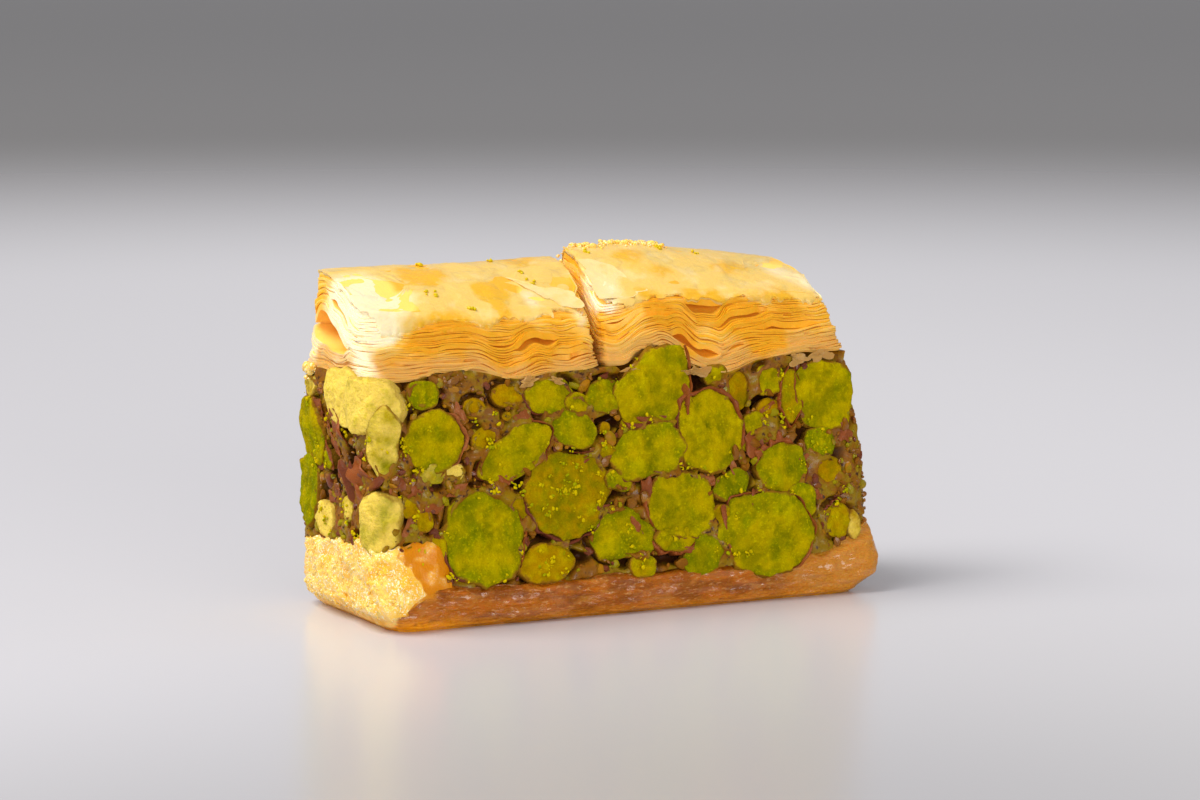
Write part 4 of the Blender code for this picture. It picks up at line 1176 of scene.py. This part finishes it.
def sheet(parts, block, hang, lift, inset, seed):
    """Adds a whole sheet: down the wall's top, over its edge and across the block."""
    wall = block.wall
    count = wall.count
    at_front = smooth((-wall.away[:, 1] - 0.55) / 0.3)
    hang = np.interp(wall.ring[:, 0] / MM, *hang) * at_front + 0.03
    rim = np.column_stack([wall.ring, np.full(count, seed)])
    hang = np.maximum(hang + 0.06 * lumps(rim, 1.3 * MM, seed) + 0.045 * lumps(rim, 0.45 * MM, seed + 1), 0.015)
    hang = hang * (1 - inset * 0.5)
    places = np.linspace(0.03, 0.97, Wall.LEVELS)
    columns = np.arange(count)
    rings = []
    for part in (1, 0.75, 0.5, 0.25, 0):
        share = 1 - hang * part
        spot = np.clip((share - 0.03) / 0.94 * (Wall.LEVELS - 1), 0, Wall.LEVELS - 1.001)
        base = spot.astype(int)
        reach = wall.table[base, columns] * (1 - spot + base) + wall.table[base + 1, columns] * (spot - base)
        reach = reach + (0.06 - 0.06 * part - 0.22 * (part == 1) - 0.12 * (part == 0) + lift * 0.5) * MM - 0.35 * MM * inset
        xy = wall.spine + wall.away * reach[:, None]
        top = block.over.at(xy)
        low = block.under.at(xy)
        z = top * share + low * (1 - share) + lift * MM - (0.05 * MM if part == 0 else 0)
        rings.append(np.column_stack([xy, z]))
    edge_reach = reach
    for d in SHEET_INSETS:
        inward = np.minimum(d * MM / edge_reach, 0.97)[:, None]
        xy = rings[4][:, :2] * (1 - inward) + wall.spine * inward
        rings.append(np.column_stack([xy, block.over.at(xy) + lift * MM]))
    rings.append(np.column_stack([wall.spine, block.over.at(wall.spine) + lift * MM]))
    rings = np.array(rings)
    flat = rings.reshape(-1, 3)
    wrinkle = 0.10 * lumps(flat, (2.6 * MM, 2.0 * MM, 9), seed + 2) + 0.05 * lumps(flat, (1.0 * MM, 0.7 * MM, 9), seed + 3)
    crease = np.exp(-((lumps(flat, (4.5 * MM, 1.8 * MM, 9), seed + 4) / 0.09) ** 2))
    flat[:, 2] += (wrinkle + 0.08 * crease) * MM
    rings = flat.reshape(rings.shape)
    under = rings.copy()
    under[..., 2] -= 0.07 * MM
    inwards = wall.spine - wall.ring
    inwards /= np.linalg.norm(inwards, axis=1)[:, None]
    for level in range(4):
        under[level, :, :2] += inwards * 0.06 * MM
    points = np.concatenate([under[::-1], rings]).reshape(-1, 3)
    depth = np.concatenate([[0], np.cumsum(np.linalg.norm(np.diff(rings, axis=0), axis=2).mean(axis=1))]) / MM
    edge = np.concatenate([depth[::-1], depth]).repeat(count)
    parts.add(points, tube_faces(2 * len(rings), count), edge=edge, pale=0, soak=soak(points, block.stains))


def flake(parts, block, corners, pale, seed):
    """Adds a torn flake lying on top of a block."""
    corners = np.array(corners) * MM
    loop = []
    for a, b in zip(corners, np.roll(corners, -1, axis=0)):
        steps = max(3, int(np.linalg.norm(b - a) / (0.16 * MM)))
        loop += [a + (b - a) * i / steps for i in range(steps)]
    loop = np.array(loop)
    loop = even_out(loop.T, 3).T
    middle = loop.mean(axis=0)
    probe = np.column_stack([loop, np.full(len(loop), seed)])
    away = loop - middle
    length = np.linalg.norm(away, axis=1)
    tear = (0.35 * lumps(probe, 1.0 * MM, seed) + 0.22 * lumps(probe, 0.4 * MM, seed + 1)) * MM
    loop = loop + away / length[:, None] * tear[:, None]
    rings = []
    for share in (0, 0.05, 0.13, 0.25, 0.42, 0.65, 0.85, 1):
        xy = loop * (1 - share) + middle * share
        probe = np.column_stack([xy, np.full(len(xy), seed)])
        wave = 0.06 * lumps(probe, 1.8 * MM, seed + 2) + 0.03 * lumps(probe, 0.7 * MM, seed + 3)
        wave += 0.03 * math.exp(-share / 0.12) * (1 + 1.2 * lumps(probe, 0.9 * MM, seed + 4))
        rings.append(np.column_stack([xy, block.over.at(xy) + (0.09 + wave) * MM]))
    rings = np.array(rings)
    under = rings.copy()
    under[..., 2] -= 0.05 * MM
    count = len(loop)
    edge = np.concatenate([[2, 1.5, 1, .8, .6, .3, .1, 0], [0, .1, .3, .6, .8, 1, 1.5, 2]]).repeat(count)
    points = np.concatenate([under[::-1], rings]).reshape(-1, 3)
    parts.add(points, tube_faces(16, count), edge=edge, pale=pale, soak=soak(points, block.stains))


sheet_finish = Finish("pastry_sheet", Roughness=0.3, Subsurface_Weight=0.2, Subsurface_Scale=0.0002,
                      Subsurface_Radius=(1.0, 0.6, 0.2), Coat_Weight=0.3, Coat_Roughness=0.12, Specular_IOR_Level=0.2)
pale, edge, soaked = [sheet_finish.stored(name) for name in ("pale", "edge", "soak")]
blotch = sheet_finish.noise(1.5 * MM, 4)
colour = sheet_finish.mix(sheet_finish.step(soaked + 0.7 * blotch, 0.55, 0.95), SHEET_STRAW, SHEET_ORANGE)
colour = sheet_finish.mix(sheet_finish.step(blotch, 0.52, 0.72) * 0.5, colour, SHEET_CREAM)
colour = sheet_finish.mix(sheet_finish.step(soaked + 0.3 * blotch, 0.05, -0.5), colour, SHEET_CREAM)
colour = sheet_finish.mix(sheet_finish.step(soaked + 0.3 * blotch, -0.35, -0.85), colour, SHEET_WHITE)
colour = sheet_finish.mix(pale * sheet_finish.step(blotch, 0.25, 0.6), colour, SHEET_CREAM)
colour = sheet_finish.mix(sheet_finish.step(edge + 0.1 * blotch, 0.22, 0.05) * 0.6, colour, SHEET_CREAM)
sheet_finish.feed(
    Base_Color=colour,
    Normal=sheet_finish.bump(sheet_finish.noise(0.6 * MM, 5, (1.3, 0.9, 1), 0.6), 0.13 * MM, 0.8),
)
for side, hang, flakes in (("left", LEFT_HANG, LEFT_FLAKES), ("right", RIGHT_HANG, RIGHT_FLAKES)):
    parts = Parts()
    sheet(parts, blocks[side], hang, -0.03, 0.9, 811)
    sheet(parts, blocks[side], hang, 0.035, 0.0, 821)
    sheets = parts.build(f"{side}_sheets", crease=60)
    sheet_finish.on(sheets, "flaky_crust", "top_crust_" + side)
    parts = Parts()
    for n, (corners, pale) in enumerate(flakes):
        flake(parts, blocks[side], corners, pale, 831 + 7 * n)
    flakes = parts.build(f"{side}_flakes", crease=60)
    sheet_finish.on(flakes, "flaky_crust", "top_crust_" + side)

# ---- Pastry crumbs ----
# Where the pastry broke: the soaked crumb that stands up over the bottom crust at the torn corner, dry crumbs along
# the top crust's highest edge and at its left end, and limp, clear shreds that hang from its right half.

CRUMB_CREAM = (1.0, 0.61, 0.11, 1)
PAINTED_GLINT_WHITE = (1.0, 0.86, 0.52, 1)
CRUMB_GOLD = (0.97, 0.49, 0.03, 1)
CRUMB_AMBER = (0.66, 0.22, 0.001, 1)
NUT_YELLOW = (0.62, 0.45, 0.0, 1)
SHRED_TAN = (0.44, 0.23, 0.06, 1)
# The torn corner's upper edge, as the way round it (mm, below 0 on the left end and above 0 on the front) and up.
TORN_ROUND, TORN_TOP = [-17, -12, -7, -3, 0, 1.5, 3.0, 4.4, 5.6], [6.4, 6.6, 7.2, 7.8, 7.0, 7.3, 7.8, 7.4, 5.4]
TORN_FOOT = [0.5, 0.5, 0.5, 0.5, 0.6, 1.0, 2.2, 2.8, 3.4]
# Shreds that hang from the right half: across, up, size along, size down (mm), turn (degrees).
HANGING_SHREDS = [
    (6.7, 19.9, 2.2, 1.5, 8), (8.4, 20.2, 1.8, 1.2, -10), (11.0, 19.7, 2.6, 2.2, -5), (12.9, 20.2, 1.8, 1.1, 12),
    (14.9, 20.4, 2.4, 1.0, 0), (17.0, 20.3, 2.2, 1.3, -8), (19.2, 20.5, 2.2, 1.1, 6), (1.0, 20.4, 1.8, 0.8, 10),
    (-9.0, 19.9, 1.8, 0.8, 20), (-6.4, 19.9, 1.6, 0.7, -15),
]



def corner_wall(place, up):
    """The outermost point of the side at a column of the bottom crust's ring, and the way outwards there."""
    low = int(math.floor(place))
    share = place - low
    low, high = low % wall.count, (low + 1) % wall.count
    spine = wall.spine[low] * (1 - share) + wall.spine[high] * share
    away = wall.away[low] * (1 - share) + wall.away[high] * share
    away /= np.linalg.norm(away)
    far = 40 * MM
    start, way = (*(spine + away * far), up * MM), (-away[0], -away[1], 0)
    hits = [tree.ray_cast(Vector(start), Vector(way)) for tree in (wall.tree, filling.tree)]
    return np.array(min((hit for hit in hits if hit[0]), key=lambda hit: hit[3])[0]), np.append(away, 0)


# The mass is a shell over the corner, thickest in its middle, whose edge sinks into the crust and the filling.
ring_step = np.linalg.norm(wall.ring[11] - wall.ring[10]) / MM
diagonal = int(np.argmin(np.abs(wall.away[:wall.count // 4, 0] - wall.away[:wall.count // 4, 1])))
rounds = np.linspace(TORN_ROUND[0], TORN_ROUND[-1], 210)
rows = np.linspace(0, 1, 64)
outer, inner, tints = [], [], []
probe = np.column_stack([rounds, 0 * rounds, 0 * rounds])
tops = np.interp(rounds, TORN_ROUND, TORN_TOP) + 0.5 * lumps(probe, 1.3, 91) + 0.25 * lumps(probe, 0.5, 92)
feet = np.interp(rounds, TORN_ROUND, TORN_FOOT)
for row in rows:
    for around, foot, top in zip(rounds, feet, tops):
        up = foot + (top - foot) * row
        spot, out = corner_wall(diagonal + around / ring_step, up)
        outer.append(spot)
        inner.append(out)
        ends = min(around - rounds[0], rounds[-1] - around) / 1.5
        tints.append((around, up, min(row * (top - foot) / 1.5, (top - up) / 0.7, ends)))
outer, inner, tints = np.array(outer), np.array(inner), np.array(tints)
# It bridges the groove between the crust and the filling.
reach = (outer * inner).sum(axis=1).reshape(len(rows), len(rounds))
bridged = np.max([np.roll(reach, shift, axis=0) for shift in range(-5, 6)], axis=0)
bridged[:5], bridged[-5:] = reach[:5], reach[-5:]
for _ in range(12):
    bridged[1:-1] = (bridged[:-2] + 2 * bridged[1:-1] + bridged[2:]) / 4
outer += inner * (bridged - reach).reshape(-1, 1)
body = smooth(tints[:, 2])
grain = 0.30 * lumps(outer, 2.4 * MM, 98) + 0.18 * lumps(outer, 1.1 * MM, 93)
grain += 0.14 * lumps(outer, 0.5 * MM, 94) + 0.11 * lumps(outer, 0.24 * MM, 95)
thick = body * (0.34 + grain) - 0.25 * (1 - body)
clear = smooth((tints[:, 0] - np.interp(tints[:, 1], TORN_HEIGHTS, TORN_REACH) - 23.0) / 0.5 + 0.8 * lumps(outer, 0.9 * MM, 96))
clear *= tints[:, 0] > 0.5
thick -= clear * body * (0.10 + 0.12 * lumps(outer, 0.5 * MM, 94) + 0.10 * lumps(outer, 0.24 * MM, 95))
shell = np.concatenate([outer + inner * (thick * MM)[:, None], outer - inner * 0.7 * MM])
wide, tall = len(rounds), len(rows)
faces = []
for row in range(tall - 1):
    for i in range(wide - 1):
        a, b = row * wide + i, (row + 1) * wide + i
        faces += [(a, a + 1, b + 1, b), (wide * tall + a, wide * tall + b, wide * tall + b + 1, wide * tall + a + 1)]
rim = list(range(wide)) + [row * wide + wide - 1 for row in range(1, tall)]
rim += list(range(wide * tall - 2, wide * (tall - 1) - 1, -1)) + [row * wide for row in range(tall - 2, 0, -1)]
for a, b in zip(rim, rim[1:] + rim[:1]):
    faces.append((b, a, wide * tall + a, wide * tall + b))
pastry = Parts()
pastry.add(shell, faces, kind=np.tile(0.25 + 0.5 * clear + 0.1 * lumps(outer, 0.6 * MM, 97), 2))

# Specks of nut on the tops: the half, across and into the plate.
NUTS_ON_TOP = [
    ("left", -5.7, 1.6), ("left", -5.4, 0.2), ("left", -15.8, -0.8), ("left", -15.2, -1.3), ("left", -13.9, 4.6),
    ("left", -7.0, 5.0), ("left", -12.6, -3.3), ("right", 1.4, 3.0), ("right", 8.5, 3.6), ("right", 12.0, 2.6),
]

chance = np.random.default_rng(53)
spots, outs, sizes, kinds = [], [], [], []
for _ in range(900):
    index = chance.integers(len(outer))
    if body[index] < 0.15 or clear[index] > 0.3:
        continue
    size = (0.05 + 0.15 * chance.random() ** 2) * MM
    spots.append(outer[index] + inner[index] * (thick[index] * MM - 0.3 * size))
    outs.append(inner[index])
    sizes.append(size)
    kinds.append(chance.uniform(0.0, 0.5))
for _ in range(170):
    across, deep = chance.uniform(-0.6, 9.5), 5.2 + chance.normal() * 0.7
    spots.append(np.array((across * MM, deep * MM, float(blocks["right"].over.at(np.array((across, deep)) * MM)) + 0.12 * MM)))
    outs.append(np.array((0.0, 0.0, 1.0)))
    sizes.append((0.06 + 0.26 * chance.random() ** 2) * MM)
    kinds.append(chance.uniform(0.2, 0.55))
for side, across, deep in NUTS_ON_TOP:
    for n in range(3):
        place = np.array((across, deep)) + chance.normal(size=2) * 0.22
        height = float(blocks[side].over.at(place * MM)) + 0.12 * MM
        spots.append(np.array((*place * MM, height)))
        outs.append(np.array((0.0, 0.0, 1.0)))
        sizes.append(chance.uniform(0.10, 0.22) * MM)
        kinds.append(3)
for _ in range(70):
    deep, up = 5.6 + chance.normal() * 0.9, 20.6 + chance.normal() * 0.5
    hit = filling.tree.ray_cast(Vector((-1, deep * MM, min(up, 21.2) * MM)), Vector((1, 0, 0)))[0]
    if hit:
        spots.append(np.array(hit) + (-0.1 * MM, 0, 0.3 * MM))
        outs.append(np.array((-1.0, 0.0, 0.0)))
        sizes.append((0.15 + 0.35 * chance.random() ** 2) * MM)
        kinds.append(chance.uniform(0, 0.3))
grains(pastry, spots, outs, sizes, chance, flat=0.8, kind=kinds)
for seed, (across, up, long, wide, turn) in enumerate(HANGING_SHREDS):
    face = Face((across * MM, -1, up * MM), (0, 1, 0), turn)
    shred(pastry, face, long, 0.75 * wide, 0.1, seed + 300, thickness=0.05, sink=-0.22, torn=0.9, kind=2)
pastry = pastry.build("pastry_crumbs", merge=False, crease=50)

finish = Finish("pastry_crumb", Roughness=0.3, Subsurface_Weight=0.3, Subsurface_Scale=0.0004,
                Subsurface_Radius=(1.0, 0.6, 0.2), Coat_Roughness=0.15, Specular_IOR_Level=0.1)
kind = finish.stored("kind")
colour = finish.mix(finish.step(finish.noise(2.0 * MM, 3), 0.46, 0.64), CRUMB_CREAM, CRUMB_GOLD)
# Painted highlights: tiny near-white glints over the crumb.
colour = finish.mix(finish.step(finish.noise(0.16 * MM, 3) + 0.3 * finish.noise(1.2 * MM, 2), 0.68, 0.80), colour, PAINTED_GLINT_WHITE)
up = finish.node("ShaderNodeSeparateXYZ", None, {0: finish.place}, 2)
# Towards the foot the crumb turns deep orange: syrup soaked in from the crust, with painted glow where light shines
# through it.
soaked = finish.step(up + 1.2 * MM * finish.noise(2 * MM, 3), 1.7 * MM, 0.8 * MM)
colour = finish.mix(soaked * 0.6, colour, CRUMB_AMBER)
colour = finish.mix(finish.step(kind, 0.6, 0.75), colour, CRUMB_AMBER)
colour = finish.mix(finish.step(kind, 1.5, 1.8), colour, SHRED_TAN)
colour = finish.mix(finish.step(kind, 2.5, 2.8), colour, NUT_YELLOW)
finish.feed(
    Base_Color=colour,
    Coat_Weight=0.55 - 0.45 * finish.step(kind, 0.55, 0.7),
    Normal=finish.bump(finish.noise(0.2 * MM, 3), 0.08 * MM, 0.8),
)
finish.on(pastry, "flaky_crust")

# ---- Stage ----
# A pale table top that runs far back, painted with shade: darker to the left and at the left front, and nearly black
# far back. Soft light from the left.

bpy.ops.mesh.primitive_circle_add(vertices=128, radius=4, fill_type="NGON")
floor = bpy.context.object
floor.name = "floor"
finish = Finish("pale_table", Roughness=0.24)
distance = finish.node("ShaderNodeVectorMath", {"operation": "LENGTH"}, {0: finish.place}, "Value")
across = finish.node("ShaderNodeSeparateXYZ", None, {0: finish.place}, 0)
deep = finish.node("ShaderNodeSeparateXYZ", None, {0: finish.place}, 1)
# Painted shade on the table: darker towards the left, darkest at the left front, and nearly black far back.
shaded_near_floor = finish.mix(finish.step(across, -0.02, 0.12), (0.60, 0.59, 0.62, 1), (0.70, 0.69, 0.72, 1))
shaded_front_floor = finish.mix(finish.step(across, -0.03, 0.06), (0.40, 0.392, 0.405, 1), (0.60, 0.59, 0.60, 1))
shaded_near_floor = finish.mix(finish.step(deep, 0.0, -0.09), shaded_near_floor, shaded_front_floor)
shaded_near_floor = finish.mix(finish.step(distance, 0.25, 0.54), shaded_near_floor, (0.095, 0.084, 0.072, 1))
finish.feed(Base_Color=finish.mix(finish.step(distance, 0.5, 1.0), shaded_near_floor, (0.042, 0.032, 0.022, 1)))
floor.data.materials.append(finish.material)

world = bpy.data.worlds.new("studio")
bpy.context.scene.world = world
world.use_nodes = True
world.node_tree.nodes["Background"].inputs["Color"].default_value = (0.93, 0.925, 0.965, 1)
world.node_tree.nodes["Background"].inputs["Strength"].default_value = 0.45


def soft_light(name, place, aim, size, power, colour):
    light = bpy.data.lights.new(name, "AREA")
    light.shape = "RECTANGLE"
    light.size, light.size_y = size
    light.energy = power
    light.color = colour
    obj = bpy.data.objects.new(name, light)
    obj.location = place
    obj.rotation_euler = (Vector(place) - Vector(aim)).to_track_quat("Z", "Y").to_euler()
    bpy.context.scene.collection.objects.link(obj)


soft_light("window", (-0.38, 0.10, 0.60), (0, 0, 0.015), (0.5, 0.5), 6.2, (1.0, 0.98, 0.95))
soft_light("front_fill", (-0.10, -0.75, 0.16), (0, 0, 0.015), (0.8, 0.25), 3.4, (1.0, 1.0, 1.0))

camera = bpy.data.cameras.new("camera")
camera.lens = 135
camera.sensor_width = 36
camera.clip_start = 0.01
camera_obj = bpy.data.objects.new("camera", camera)
bpy.context.scene.collection.objects.link(camera_obj)
bpy.context.scene.camera = camera_obj
turn, rise, distance = math.radians(-26.773), math.radians(7.729), 0.3862
aim = Vector((1.02 * MM, 0, 16.98 * MM))
back = Vector((math.sin(turn) * math.cos(rise), -math.cos(turn) * math.cos(rise), math.sin(rise)))
camera_obj.location = aim + back * distance
camera_obj.rotation_euler = back.to_track_quat("Z", "Y").to_euler()
bpy.context.scene.view_settings.view_transform = "Standard"
